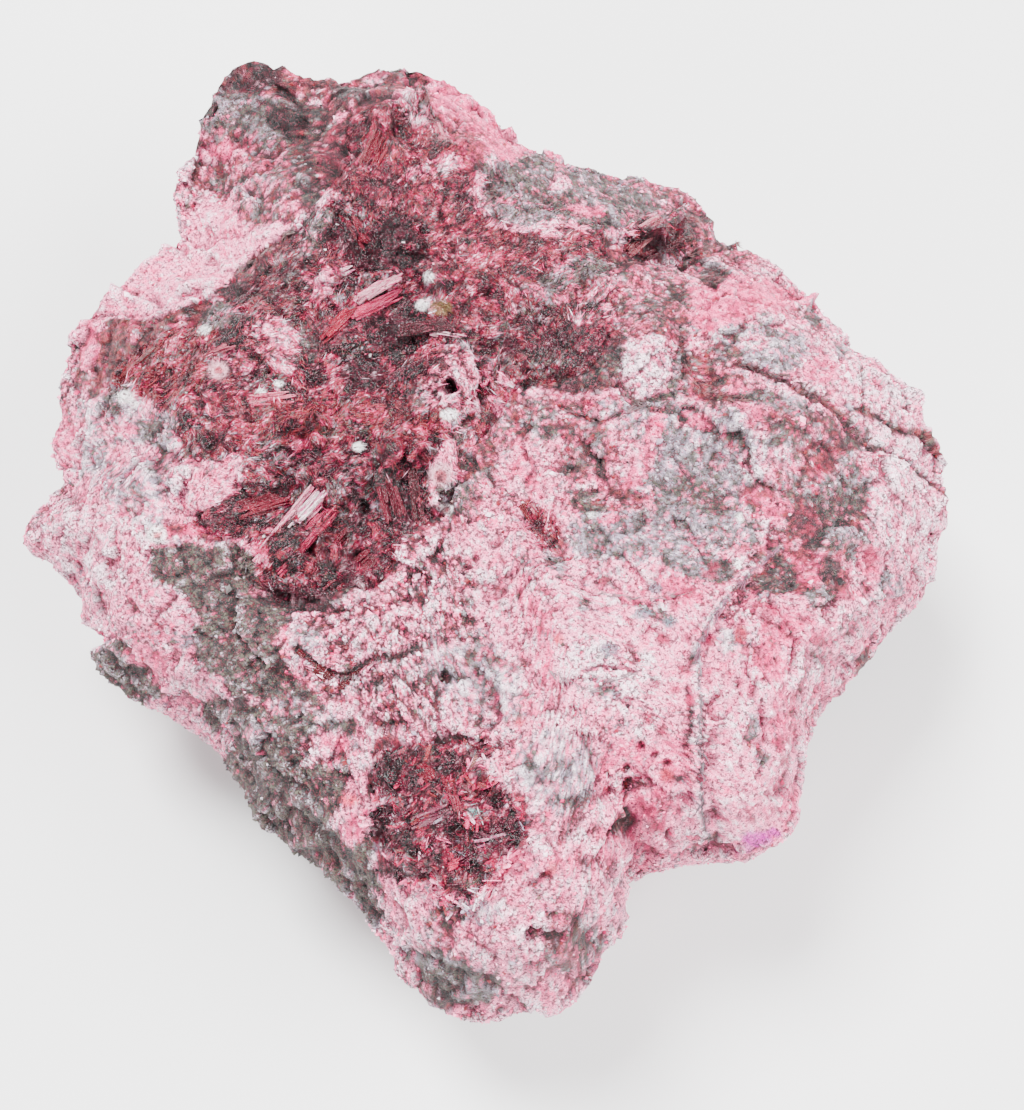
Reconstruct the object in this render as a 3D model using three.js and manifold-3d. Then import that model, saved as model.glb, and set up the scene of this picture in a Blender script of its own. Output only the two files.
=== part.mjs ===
// Roselite specimen: a broken slab of pink and grey gangue that lies on a flat break, with crusts of
// dark red bladed crystals in recesses of its upper side. Millimetres, +Z up, origin under the middle of
// the bounding box.
import * as THREE from "three";
import { mergeVertices } from "three/addons/utils/BufferGeometryUtils.js";
import { ConvexGeometry } from "three/addons/geometries/ConvexGeometry.js";
import Module from "manifold-3d";

const wasm = await Module();
wasm.setup();

// Driving dimensions
const WIDTH = 103; // left tip to right edge
const TOP_HEIGHT = 41; // the upper side's general level above the resting face
const RECESS = 2.2; // how deep the crystal crusts are set into the rock
const CRUST_RISE = 0.5; // how far a crust stands above the rock beside it
const GAP = 0.35; // between a crust and the rock under it

// The reference photograph looks down on the specimen, leaning back from its near side. A place given
// as a pixel of it is put on the rock by following the line of sight down to a height.
const WIDTH_IN_PIXELS = 933;
const SCALE = WIDTH / WIDTH_IN_PIXELS;
const MIDDLE_PIXEL = [512, 555];
const FOCAL_PIXELS = 1640;
const TILT = THREE.MathUtils.degToRad(20);
const AIM_HEIGHT = 27;
const EYE = new THREE.Vector3(0, -Math.sin(TILT), Math.cos(TILT)).multiplyScalar(FOCAL_PIXELS * SCALE);
EYE.z += AIM_HEIGHT;

function onLevel([pixelX, pixelY], height) {
  const right = (pixelX - MIDDLE_PIXEL[0]) / FOCAL_PIXELS;
  const up = (MIDDLE_PIXEL[1] - pixelY) / FOCAL_PIXELS;
  const sight = new THREE.Vector3(
    right,
    up * Math.cos(TILT) + Math.sin(TILT),
    up * Math.sin(TILT) - Math.cos(TILT),
  );
  return EYE.clone().addScaledVector(sight, (EYE.z - height) / -sight.z);
}

// Outline corners clockwise from the far left knob: pixel x, pixel y, and the height of the rim there.
const OUTLINE = [
  [199, 100, 34], [213, 84, 34], [230, 60, 34], [249, 50, 35], [266, 56, 35], [281, 71, 34],
  [297, 75, 34], [322, 69, 34], [337, 70, 34], [347, 76, 34], [365, 67, 34], [405, 60, 34],
  [421, 61, 34], [430, 69, 34], [459, 85, 33], [479, 100, 33], [505, 128, 33], [520, 140, 33],
  [560, 155, 33], [600, 168, 32], [632, 176, 32], [655, 177, 32], [685, 188, 31], [701, 197, 31],
  [716, 221, 31], [732, 236, 31], [748, 243, 31], [782, 268, 30], [804, 285, 30], [824, 306, 30],
  [841, 321, 30], [849, 337, 30], [865, 350, 30], [898, 368, 29], [919, 385, 29], [923, 402, 29],
  [926, 430, 28], [947, 450, 28], [950, 467, 28], [949, 484, 28], [952, 514, 27], [938, 551, 26],
  [926, 602, 26], [898, 619, 26], [893, 636, 26], [874, 661, 25], [859, 677, 25], [828, 697, 25],
  [819, 709, 24], [813, 741, 24], [806, 759, 24], [806, 799, 23], [795, 835, 23], [775, 855, 22],
  [742, 865, 22], [712, 859, 22], [694, 859, 23], [675, 870, 23], [664, 879, 23], [652, 871, 24],
  [637, 860, 25], [624, 877, 24], [622, 905, 22], [617, 935, 21], [597, 963, 20], [586, 988, 19],
  [581, 1003, 18], [568, 1011, 18], [530, 1021, 18], [500, 1027, 18], [462, 1025, 18], [438, 1021, 18],
  [409, 991, 18], [388, 975, 18], [389, 948, 19], [374, 940, 19], [369, 919, 20], [346, 908, 20],
  [333, 881, 20], [292, 848, 20], [276, 833, 20], [256, 825, 20], [247, 789, 21], [228, 773, 21],
  [218, 755, 21], [197, 729, 21], [163, 708, 21], [147, 708, 21], [130, 693, 21], [106, 688, 21],
  [92, 667, 22], [91, 647, 22], [95, 635, 23], [79, 619, 23], [81, 604, 24], [73, 575, 24],
  [46, 559, 24], [23, 553, 24], [20, 540, 25], [27, 519, 25], [58, 495, 26], [58, 466, 27],
  [44, 443, 27], [57, 414, 27], [60, 372, 28], [68, 331, 28], [92, 304, 28], [123, 279, 29],
  [138, 258, 29], [172, 235, 30], [178, 219, 31], [170, 190, 31], [166, 174, 31], [187, 163, 32],
  [196, 128, 33],
];
const MIDDLE_OF_OUTLINE = [500, 540];
const RIM_WAVE = 4.5; // mm that the rim rises and falls about those heights
const RIM_WAVELENGTH = 95; // pixels

// Broken faces of the sides, each leaning out over the resting face: the bearing it faces in degrees,
// how far from the outline's middle it meets the resting face in mm, and its lean from upright in degrees.
const BREAKS = [
  { bearing: 4, foot: 42, lean: 18 },
  { bearing: 38, foot: 38, lean: 25 },
  { bearing: 62, foot: 45, lean: 16 },
  { bearing: 70, foot: 37, lean: 50 },
  { bearing: 88, foot: 50, lean: 22 },
  { bearing: 122, foot: 58, lean: 21 },
  { bearing: 150, foot: 42, lean: 50 },
  { bearing: 155, foot: 51, lean: 14 },
  { bearing: 180, foot: 40, lean: 30 },
  { bearing: 212, foot: 35, lean: 21 },
  { bearing: 232, foot: 30, lean: 29 },
  { bearing: 262, foot: 38, lean: 25 },
  { bearing: 285, foot: 32, lean: 48 },
  { bearing: 296, foot: 38, lean: 18 },
  { bearing: 318, foot: 29, lean: 30 },
  { bearing: 340, foot: 38, lean: 16 },
  { bearing: 355, foot: 34, lean: 46 },
];

// How finely the rock is faceted
const TOP_RINGS = 19;
const SIDES_PER_RING = 8;
const RIM_EDGE = 0.88; // share of the way out where the upper side starts to bend to the rim
const WALLS = [
  // rings of the walls: how many points, and their share of the rim's height
  { count: 150, share: 0.84 },
  { count: 132, share: 0.64 },
  { count: 110, share: 0.43 },
  { count: 90, share: 0.22 },
  { count: 72, share: 0 },
];
const WALL_ROUGHNESS = 1.0; // mm

// Broad faces of the upper side: a point on each, its height, the bearing it falls towards and how steeply.
const FACES = [
  { name: "upper side", at: [480, 440], height: TOP_HEIGHT, bearing: -100, fall: 5 },
  { name: "smooth far left slope", at: [262, 268], height: 40, bearing: 148, fall: 33 },
  { name: "left slope", at: [150, 440], height: 39, bearing: 185, fall: 38 },
  { name: "near left slope", at: [255, 640], height: 38.5, bearing: 228, fall: 40 },
  { name: "near end", at: [480, 880], height: 36, bearing: -95, fall: 38 },
  { name: "near right slope", at: [730, 800], height: 35.5, bearing: -48, fall: 42 },
  { name: "right slope", at: [860, 560], height: 38, bearing: -18, fall: 42 },
  { name: "far right slope", at: [760, 310], height: 39.5, bearing: 48, fall: 44 },
  { name: "far slope", at: [450, 135], height: 41, bearing: 72, fall: 44 },
];
const FACE_BLEND = 1.3; // softness of the edges between faces, mm

// Lumps and hollows: pixel x, pixel y, radius in mm, rise in mm (a hollow's is below 0).
const LUMPS = [
  [250, 82, 4.2, 2.2], [325, 98, 3.2, 1.9], [402, 90, 5.0, 1.6], [290, 118, 3.0, -1.6],
  [345, 152, 2.8, -1.8], [428, 176, 5.5, 1.4], [225, 185, 5.5, 0.9], [372, 246, 5.4, -3.0],
  [368, 300, 4.4, 1.6], [402, 332, 4.6, -1.9], [456, 382, 4.0, 1.9], [570, 350, 7.0, 2.3],
  [540, 190, 6.0, 0.9], [654, 372, 3.8, 1.9], [672, 250, 3.8, -2.4], [690, 215, 3.4, 1.4],
  [760, 345, 4.2, 2.0], [890, 388, 3.8, 2.2], [905, 500, 6.0, 1.6], [835, 490, 5.0, -1.2],
  [772, 585, 3.6, -1.4], [620, 823, 4.0, -3.4], [625, 775, 2.8, -1.5], [350, 625, 5.2, 1.9],
  [395, 705, 4.2, 1.5], [475, 590, 6.0, 1.2], [443, 672, 1.8, -1.4], [560, 660, 7.0, 1.3],
  [560, 760, 5.5, 0.8], [745, 690, 6.0, 1.4], [665, 700, 4.5, 0.9], [120, 545, 6.0, 1.2],
  [110, 620, 4.0, 0.9], [245, 640, 5.5, -1.0], [270, 700, 3.5, -0.9], [290, 800, 5.0, 0.7],
  [510, 950, 6.0, 1.1], [130, 360, 5.0, -0.9], [250, 345, 3.0, 1.3], [190, 490, 4.5, 1.2],
  [700, 470, 6.5, -0.9], [640, 540, 6.0, -0.8], [600, 440, 4.5, 0.9], [800, 440, 3.5, 1.2],
  [740, 400, 4.0, 1.0],
];

// Clefts and ledges: half-width in mm, depth in mm, and the line's pixels.
const GROOVES = [
  // upright crack
  { half: 1.8, depth: 0.9, line: [[740, 570], [706, 640], [698, 710], [703, 790], [712, 856]] },
  // vein across the right slope
  { half: 1.8, depth: 0.9, line: [[735, 358], [800, 380], [850, 425], [900, 440], [950, 488]] },
  // step in the middle
  { half: 1.9, depth: 1.7, line: [[505, 318], [488, 362], [478, 405], [470, 440]] },
  // round the white knob
  { half: 1.6, depth: 0.6, line: [[618, 350], [622, 392], [655, 402], [690, 388], [685, 345]] },
  // near left cleft
  { half: 1.8, depth: 1.5, line: [[82, 622], [112, 642], [150, 668]] },
  // far right ledge
  { half: 1.6, depth: 1.6, line: [[622, 262], [665, 262], [705, 250], [745, 245]] },
];

// Crystal crusts: a middle inside each, its outline clockwise, and the blades that stand out of it in
// sprays. A spray is pixel x, pixel y, how many blades, their mean length in mm, bearing and spread in
// degrees, and lean in degrees.
const CRUSTS = [
  {
    name: "crystal_field", middle: [330, 390], recess: RECESS, colour: 0x6d2334,
    outline: [
      [330, 205], [352, 145], [345, 112], [416, 104], [456, 140], [470, 200], [520, 225], [600, 245],
      [612, 300], [618, 345], [585, 395], [520, 400], [470, 455], [452, 505], [400, 560], [385, 595],
      [330, 604], [262, 596], [240, 545], [178, 528], [205, 478], [182, 440], [125, 402], [98, 388],
      [104, 348], [150, 325], [210, 320], [262, 275],
    ],
    sprays: [
      [375, 300, 6, 8.0, 40, 22, 18], [330, 325, 3, 6.0, 60, 40, 30], [395, 335, 3, 6.0, 5, 30, 20],
      [275, 560, 6, 8.0, 48, 26, 20], [320, 520, 4, 7.0, 50, 30, 22], [330, 570, 4, 5.5, 110, 80, 40],
      [250, 490, 4, 7.0, 8, 25, 15], [165, 350, 4, 6.5, 25, 30, 15], [120, 385, 3, 5.5, 60, 30, 20],
      [225, 405, 3, 6.0, -8, 30, 18], [370, 220, 4, 5.5, 100, 70, 40], [455, 330, 3, 5.5, 160, 40, 25],
      [420, 130, 3, 5.0, 95, 60, 40], [385, 165, 3, 5.0, 80, 60, 38], [560, 330, 4, 5.5, 100, 60, 30],
      [500, 260, 3, 5.0, 60, 80, 35], [400, 480, 4, 5.5, 85, 60, 35], [300, 440, 3, 5.5, 10, 60, 25],
    ],
  },
  {
    name: "crystal_pocket", middle: [445, 820], recess: RECESS + 1, colour: 0x7c2238,
    outline: [
      [374, 745], [420, 742], [470, 745], [497, 742], [505, 775], [524, 815], [522, 850], [498, 870],
      [480, 900], [462, 912], [430, 895], [392, 872], [382, 838], [370, 800],
    ],
    sprays: [
      [440, 862, 4, 4.6, 95, 70, 55], [405, 780, 3, 4.6, 60, 70, 40], [470, 790, 4, 4.6, 100, 60, 45],
      [500, 835, 4, 5.0, 10, 60, 30], [395, 825, 3, 4.6, 130, 50, 35], [465, 885, 3, 4.0, -60, 60, 35],
    ],
  },
  {
    name: "crystal_fan", middle: [660, 240], recess: 1.4, colour: 0x5a2230,
    outline: [[632, 225], [650, 205], [672, 208], [695, 235], [690, 250], [668, 260], [635, 260], [622, 245]],
    sprays: [[642, 248, 5, 5.5, 22, 24, 14], [662, 235, 3, 4.4, 40, 40, 30]],
  },
  {
    name: "crystal_spray", middle: [545, 532], recess: 1.4, colour: 0x7a2c3a,
    outline: [[524, 508], [538, 506], [556, 530], [566, 548], [555, 560], [540, 548], [530, 530]],
    sprays: [[548, 545, 5, 5.0, 118, 26, 20]],
  },
  {
    name: "crystal_vein", middle: [345, 672], recess: 1.2, colour: 0x54222a,
    outline: [
      [297, 652], [306, 648], [326, 664], [350, 672], [372, 656], [396, 646], [402, 654], [382, 668],
      [362, 682], [340, 684], [318, 674],
    ],
    sprays: [[322, 668, 3, 4.0, 145, 30, 18], [372, 666, 3, 3.8, 30, 40, 22]],
  },
];

const BLADE_SLENDERNESS = 3.8; // length over width
const BLADE_FLATNESS = 1.6; // width over thickness

// Repeatable random numbers and noise
function randomFrom(seed) {
  let state = seed >>> 0;
  return () => {
    state = (state + 0x6d2b79f5) >>> 0;
    let t = Math.imul(state ^ (state >>> 15), 1 | state);
    t = (t + Math.imul(t ^ (t >>> 7), 61 | t)) ^ t;
    return ((t ^ (t >>> 14)) >>> 0) / 4294967296;
  };
}

function lattice(i, j, k) {
  let h = Math.imul(i, 374761393) ^ Math.imul(j, 668265263) ^ Math.imul(k, 2147483647);
  h = Math.imul(h ^ (h >>> 13), 1274126177);
  return ((h ^ (h >>> 16)) >>> 0) / 4294967296;
}

// Smooth noise from -1 to 1, with one lump to each unit of length.
function noise(x, y, z) {
  const cell = [x, y, z].map(Math.floor);
  const part = [x - cell[0], y - cell[1], z - cell[2]].map((t) => t * t * (3 - 2 * t));
  let sum = 0;
  for (let corner = 0; corner < 8; corner++) {
    const step = [corner & 1, (corner >> 1) & 1, corner >> 2];
    const weight = step.reduce((w, s, axis) => w * (s ? part[axis] : 1 - part[axis]), 1);
    sum += weight * lattice(cell[0] + step[0], cell[1] + step[1], cell[2] + step[2]);
  }
  return sum * 2 - 1;
}

// Flat-faced breaks: the plane lies level or leans a little, cell by cell.
function chips(x, y, size, rise, lean) {
  let best = Infinity;
  let height = 0;
  for (let i = -1; i <= 1; i++)
    for (let j = -1; j <= 1; j++) {
      const column = Math.floor(x / size) + i;
      const row = Math.floor(y / size) + j;
      const pick = (k) => lattice(column, row, k) - 0.5;
      const dx = x - (column + 0.5 + 0.8 * pick(1)) * size;
      const dy = y - (row + 0.5 + 0.8 * pick(2)) * size;
      const distance = Math.hypot(dx, dy);
      if (distance < best) {
        best = distance;
        height = 2 * rise * pick(3) + 2 * lean * (dx * pick(4) + dy * pick(5));
      }
    }
  return height;
}

const smooth = (low, high, value) => THREE.MathUtils.smoothstep(value, low, high);

// The upper side's height at a place, before the crusts' recesses.
const NOMINAL = TOP_HEIGHT - 3; // the level on which pixels of the upper side are placed
const faces = FACES.map((face) => {
  const spot = onLevel(face.at, face.height);
  const bearing = THREE.MathUtils.degToRad(face.bearing);
  const slope = Math.tan(THREE.MathUtils.degToRad(face.fall));
  return (x, y) =>
    face.height - slope * ((x - spot.x) * Math.cos(bearing) + (y - spot.y) * Math.sin(bearing));
});
const lumps = LUMPS.map(([px, py, radius, rise]) => ({ spot: onLevel([px, py], NOMINAL), radius, rise }));
const grooves = GROOVES.map((groove) => ({ ...groove, line: groove.line.map((p) => onLevel(p, NOMINAL)) }));

function distanceToLine(x, y, line) {
  let nearest = Infinity;
  for (let i = 1; i < line.length; i++) {
    const [a, b] = [line[i - 1], line[i]];
    const [dx, dy] = [b.x - a.x, b.y - a.y];
    const t = THREE.MathUtils.clamp(((x - a.x) * dx + (y - a.y) * dy) / (dx * dx + dy * dy), 0, 1);
    nearest = Math.min(nearest, Math.hypot(x - a.x - t * dx, y - a.y - t * dy));
  }
  return nearest;
}

function upperSide(x, y) {
  const sum = faces.reduce((total, face) => total + Math.exp(-face(x, y) / FACE_BLEND), 0);
  let z = -FACE_BLEND * Math.log(sum);
  for (const { spot, radius, rise } of lumps)
    z += rise * Math.exp(-(((x - spot.x) ** 2 + (y - spot.y) ** 2) / radius ** 2));
  for (const { line, half, depth } of grooves)
    z -= depth * (1 - smooth(0.2 * half, 1.8 * half, distanceToLine(x, y, line)));
  z += 0.9 * noise(x / 9, y / 9, 1) + 0.45 * noise(x / 4, y / 4, 2);
  return z + chips(x, y, 7.5, 0.45, 0.09);
}

// A polygon as a function of the share of its length, so that rings can follow it.
function along(corners) {
  const lengths = corners.map((p, i) => p.distanceTo(corners[(i + 1) % corners.length]));
  const total = lengths.reduce((a, b) => a + b, 0);
  return (share) => {
    let left = (((share % 1) + 1) % 1) * total;
    let i = 0;
    while (left > lengths[i]) left -= lengths[i++];
    return corners[i].clone().lerp(corners[(i + 1) % corners.length], left / lengths[i]);
  };
}

// Joins rings of points, each with its own count, into one closed surface from the first point to the last.
function closedSkin(rings) {
  const points = rings.flat();
  const triangles = [];
  let start = 0;
  for (let r = 1; r < rings.length; r++) {
    const [inner, outer] = [rings[r - 1].length, rings[r].length];
    const next = start + inner;
    let [i, o] = [0, 0];
    while (i < inner || o < outer) {
      const outerTurn = i >= inner || (o < outer && (o + 1) / outer <= (i + 1) / inner);
      const [a, b] = [start + (i % inner), next + (o % outer)];
      if (outerTurn) {
        if (outer > 1) triangles.push([a, b, next + ((o + 1) % outer)]);
        o++;
      } else {
        if (inner > 1) triangles.push([a, b, start + ((i + 1) % inner)]);
        i++;
      }
    }
    start = next;
  }
  return geometryOf(points, triangles);
}

function geometryOf(points, triangles) {
  const geometry = new THREE.BufferGeometry();
  geometry.setAttribute("position", new THREE.Float32BufferAttribute(points.flatMap((p) => p.toArray()), 3));
  geometry.setIndex(triangles.flat());
  return geometry;
}

function solidOf(geometry) {
  const bare = geometry.clone();
  for (const name of Object.keys(bare.attributes)) if (name !== "position") bare.deleteAttribute(name);
  const merged = mergeVertices(bare, 1e-4);
  const made = new wasm.Manifold(
    new wasm.Mesh({
      numProp: 3,
      vertProperties: new Float32Array(merged.attributes.position.array),
      triVerts: new Uint32Array(merged.index.array),
    }),
  );
  if (made.volume() < 0) throw new Error("a solid is inside out");
  return made;
}

function geometryFrom(solid) {
  const mesh = solid.getMesh();
  const geometry = new THREE.BufferGeometry();
  geometry.setAttribute("position", new THREE.BufferAttribute(new Float32Array(mesh.vertProperties), 3));
  geometry.setIndex(new THREE.BufferAttribute(new Uint32Array(mesh.triVerts), 1));
  return withoutSlivers(geometry);
}

// Joins corners closer than a thousandth of a millimetre and drops the triangles that this leaves empty.
function withoutSlivers(geometry) {
  const merged = mergeVertices(geometry, 1e-3);
  const corners = merged.index.array;
  const kept = [];
  for (let i = 0; i < corners.length; i += 3) {
    const [a, b, c] = corners.slice(i, i + 3);
    if (a !== b && b !== c && c !== a) kept.push(a, b, c);
  }
  merged.setIndex(kept);
  return merged;
}

// The crusts' recesses
const crusts = CRUSTS.map((crust) => ({
  ...crust,
  centre: onLevel(crust.middle, NOMINAL),
  border: along(crust.outline.map((p) => onLevel(p, NOMINAL))),
  corners: crust.outline.map((p) => onLevel(p, NOMINAL)),
}));

// How far inside a crust's outline a place is, in mm; below 0 outside.
function depthInside(x, y, corners) {
  const closed = [...corners, corners[0]];
  let inside = false;
  for (let i = 1; i < closed.length; i++) {
    const [a, b] = [closed[i - 1], closed[i]];
    if (a.y > y !== b.y > y && x < ((b.x - a.x) * (y - a.y)) / (b.y - a.y) + a.x) inside = !inside;
  }
  return distanceToLine(x, y, closed) * (inside ? 1 : -1);
}

function recessAt(x, y) {
  let deepest = 0;
  for (const { corners, recess } of crusts)
    deepest = Math.max(deepest, recess * smooth(-0.4, 2.0, depthInside(x, y, corners)));
  return deepest;
}

// The rock
const rimAt = along(
  OUTLINE.map(([px, py, height]) => {
    const wave = RIM_WAVE * noise(px / RIM_WAVELENGTH, py / RIM_WAVELENGTH, 8);
    return onLevel([px, py], height + wave);
  }),
);
const centre = onLevel(MIDDLE_OF_OUTLINE, TOP_HEIGHT);

// How far out the broken faces let the rock reach in a direction, at a height.
function reachOfBreaks(way, height) {
  let reach = Infinity;
  for (const { bearing, foot, lean } of BREAKS) {
    const angle = THREE.MathUtils.degToRad(bearing);
    const facing = way.x * Math.cos(angle) + way.y * Math.sin(angle);
    const level = foot + height * Math.tan(THREE.MathUtils.degToRad(lean));
    if (facing > 0.2) reach = Math.min(reach, level / facing);
  }
  return reach;
}

// The rim with its small corners worn away, for the lower walls.
function wornRimAt(share) {
  const reach = 0.022;
  const sum = new THREE.Vector3();
  for (let i = -2; i <= 2; i++) sum.add(rimAt(share + (i * reach) / 2));
  return sum.divideScalar(5);
}

function rock(raise) {
  const rings = [];
  for (let r = 0; r <= TOP_RINGS; r++) {
    const reach = r / TOP_RINGS;
    const count = Math.max(1, SIDES_PER_RING * r);
    const ring = [];
    for (let k = 0; k < count; k++) {
      const edge = rimAt(-k / count);
      const x = THREE.MathUtils.lerp(centre.x, edge.x, reach);
      const y = THREE.MathUtils.lerp(centre.y, edge.y, reach);
      const flat = upperSide(x, y) - recessAt(x, y);
      const z = THREE.MathUtils.lerp(flat, edge.z, smooth(RIM_EDGE, 1, reach));
      ring.push(new THREE.Vector3(x, y, z + raise));
    }
    rings.push(ring);
  }
  for (const { count, share } of WALLS) {
    const ring = [];
    for (let k = 0; k < count; k++) {
      const edge = wornRimAt(-k / count).lerp(rimAt(-k / count), smooth(0.6, 1, share));
      const way = new THREE.Vector3(edge.x - centre.x, edge.y - centre.y, 0);
      const reach = way.length();
      way.normalize();
      const lift = share > 0 ? 0.06 * noise(edge.x / 7, edge.y / 7, 20) : 0;
      const height = edge.z * (share + lift);
      const broad = noise(edge.x / 15, edge.y / 15, 2 * share + 40);
      const fine = noise(edge.x / 7, edge.y / 7, 4 * share + 5);
      const rough = WALL_ROUGHNESS * (broad + 0.6 * fine - 1) * Math.sin(Math.PI * Math.max(share, 0.1));
      const out = Math.min(reach * (0.97 + 0.02 * share), reachOfBreaks(way, height)) + rough;
      ring.push(new THREE.Vector3(centre.x, centre.y, height).addScaledVector(way, out));
    }
    rings.push(ring);
  }
  rings.push([new THREE.Vector3(centre.x, centre.y, 0)]);
  return solidOf(closedSkin(rings));
}

// A crust of crystals
function crustBody({ centre, border, outline }) {
  const rimPoints = Math.max(14, Math.round(outline.length * 1.7));
  const steps = Math.max(3, Math.round(rimPoints / 7));
  const [upper, lower] = [[], []];
  for (let r = 0; r <= steps; r++) {
    const reach = r / steps;
    const count = r ? Math.max(6, Math.round((rimPoints * r) / steps)) : 1;
    const ring = Array.from({ length: count }, (_, k) => {
      const edge = border(-k / count);
      const x = THREE.MathUtils.lerp(centre.x, edge.x, reach);
      const y = THREE.MathUtils.lerp(centre.y, edge.y, reach);
      const swell = CRUST_RISE * (1 - reach ** 4) + 0.5 * noise(x / 3, y / 3, 31);
      return new THREE.Vector3(x, y, upperSide(x, y) + swell);
    });
    upper.push(ring);
    lower.unshift(ring.map((p) => new THREE.Vector3(p.x, p.y, p.z - 6)));
  }
  return solidOf(closedSkin([...upper, ...lower]));
}

// One flat blade along +X from its root, its flat side up, thinning to a chisel edge at the tip.
function bladeGeometry(length) {
  const width = length / BLADE_SLENDERNESS;
  const thick = width / BLADE_FLATNESS;
  const points = [];
  for (const side of [-1, 1]) {
    for (const face of [-1, 1])
      points.push(new THREE.Vector3(-0.15 * length, (side * width) / 2, (face * thick) / 2));
    points.push(new THREE.Vector3(length, side * width * 0.36, 0));
  }
  return new ConvexGeometry(points);
}

function crustOf(crust, index, rockAbove) {
  const random = randomFrom(1000 + index);
  const parts = [crustBody(crust)];
  for (const [px, py, count, length, bearing, spread, lean] of crust.sprays) {
    const root = onLevel([px, py], NOMINAL);
    for (let i = 0; i < count; i++) {
      const own = length * (0.7 + 0.6 * random());
      const turn = THREE.MathUtils.degToRad(bearing + spread * (2 * random() - 1));
      const rise = THREE.MathUtils.degToRad(lean * (0.5 + random()));
      const roll = THREE.MathUtils.degToRad(70 * (random() - 0.5));
      const back = own * (0.1 + 0.5 * random());
      const aside = 1.6 * (random() - 0.5);
      const x = root.x - back * Math.cos(turn) - aside * Math.sin(turn);
      const y = root.y - back * Math.sin(turn) + aside * Math.cos(turn);
      const place = new THREE.Matrix4()
        .makeTranslation(x, y, upperSide(x, y) - 0.2)
        .multiply(new THREE.Matrix4().makeRotationFromEuler(new THREE.Euler(roll, -rise, turn, "ZYX")));
      parts.push(solidOf(bladeGeometry(own).applyMatrix4(place)));
    }
  }
  const joined = parts.reduce((a, b) => a.add(b)).subtract(rockAbove);
  return joined.decompose().reduce((a, b) => (a.volume() > b.volume() ? a : b));
}

// The assembly
const specimen = new THREE.Group();

function addNode(name, solid, colour, roughness) {
  const finish = { color: colour, roughness, metalness: 0, flatShading: true };
  const material = new THREE.MeshStandardMaterial(finish);
  const mesh = new THREE.Mesh(geometryFrom(solid), material);
  mesh.name = name;
  specimen.add(mesh);
}

addNode("matrix", rock(0), 0xd9a3ab, 0.9);
const rockAbove = rock(GAP);
crusts.forEach((crust, index) => addNode(crust.name, crustOf(crust, index, rockAbove), crust.colour, 0.45));

const box = new THREE.Box3().setFromObject(specimen);
specimen.position.set(-(box.min.x + box.max.x) / 2, -(box.min.y + box.max.y) / 2, 0);

export default specimen;
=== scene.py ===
"""Roselite specimen: the looks of a broken slab of pink and grey gangue with crusts of dark red blades.

Lengths are in millimetres until a mesh is made, and a place on the upper side is given as a pixel of the
1024 x 1110 reference photograph, which the same camera looks down from.
"""

import math

import bpy
import numpy as np
from mathutils import Matrix, Vector
from mathutils.bvhtree import BVHTree


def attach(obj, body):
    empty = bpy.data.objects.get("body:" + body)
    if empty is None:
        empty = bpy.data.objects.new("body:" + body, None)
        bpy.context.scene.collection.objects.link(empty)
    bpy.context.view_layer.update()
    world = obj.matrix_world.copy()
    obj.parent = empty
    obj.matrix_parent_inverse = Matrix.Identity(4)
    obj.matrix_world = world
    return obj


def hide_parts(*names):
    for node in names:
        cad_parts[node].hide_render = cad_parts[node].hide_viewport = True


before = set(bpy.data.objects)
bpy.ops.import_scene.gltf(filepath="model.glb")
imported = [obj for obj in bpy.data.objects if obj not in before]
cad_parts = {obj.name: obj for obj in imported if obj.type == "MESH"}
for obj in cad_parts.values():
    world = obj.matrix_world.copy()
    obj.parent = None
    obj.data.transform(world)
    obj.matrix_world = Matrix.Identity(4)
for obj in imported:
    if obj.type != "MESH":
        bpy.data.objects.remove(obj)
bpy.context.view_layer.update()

MM = 0.001
BODY = "root"
SEED = 20260

# The specimen's width, in mm and in pixels of the photograph
WIDTH = 103
WIDTH_IN_PIXELS = 933
SCALE = WIDTH / WIDTH_IN_PIXELS

# Camera: its focal length, how far it leans back from looking straight down, and the point that it aims at
FOCAL_PIXELS = 1640
MIDDLE_PIXEL = (512, 555)
PHOTO_HEIGHT = 1110
SENSOR = 36.0
TILT = math.radians(20)
AIM = np.array([3.07, -6.48, 27.0])
UP_AXIS = np.array([0.0, math.cos(TILT), math.sin(TILT)])
BACK_AXIS = np.array([0.0, -math.sin(TILT), math.cos(TILT)])
EYE = AIM + FOCAL_PIXELS * SCALE * BACK_AXIS

# Fineness of the rock's mesh: rings from its middle to its rim, by how many points each grows, rings down
# its walls, and rings over its foot
TOP_RINGS = 150
POINTS_PER_RING = 6
WALL_RINGS = 40
BASE_RINGS = 12

# Rounds of softening: of the solid's facets, of the lines where they are smoothed away, of a crust's top,
# and of the level that fine relief is measured from
ROCK_ROUNDS = 12
SMOOTHED_ROUNDS = 60
CRUST_ROUNDS = 5
LEVEL_ROUNDS = 10

# Share of the broad lumps and broken faces that the rock and the crusts get
ROCK_LUMPS = 0.55
CRUST_LUMPS = 0.4

# Crusts, in mm: how far apart their points are, how far they run in under the rock beside them, how much
# lower than it they are there, and how deep their walls go
CRUST_PITCH = 0.22
CRUST_MARGIN = 1.3
CRUST_BURIED = 0.45
CRUST_DEPTH = 1.2

# Patches of parallel fibres: their size in mm, and how far their bearings swing in radians
BUNDLE = 2.0
BUNDLE_SWING = 1.9

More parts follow.
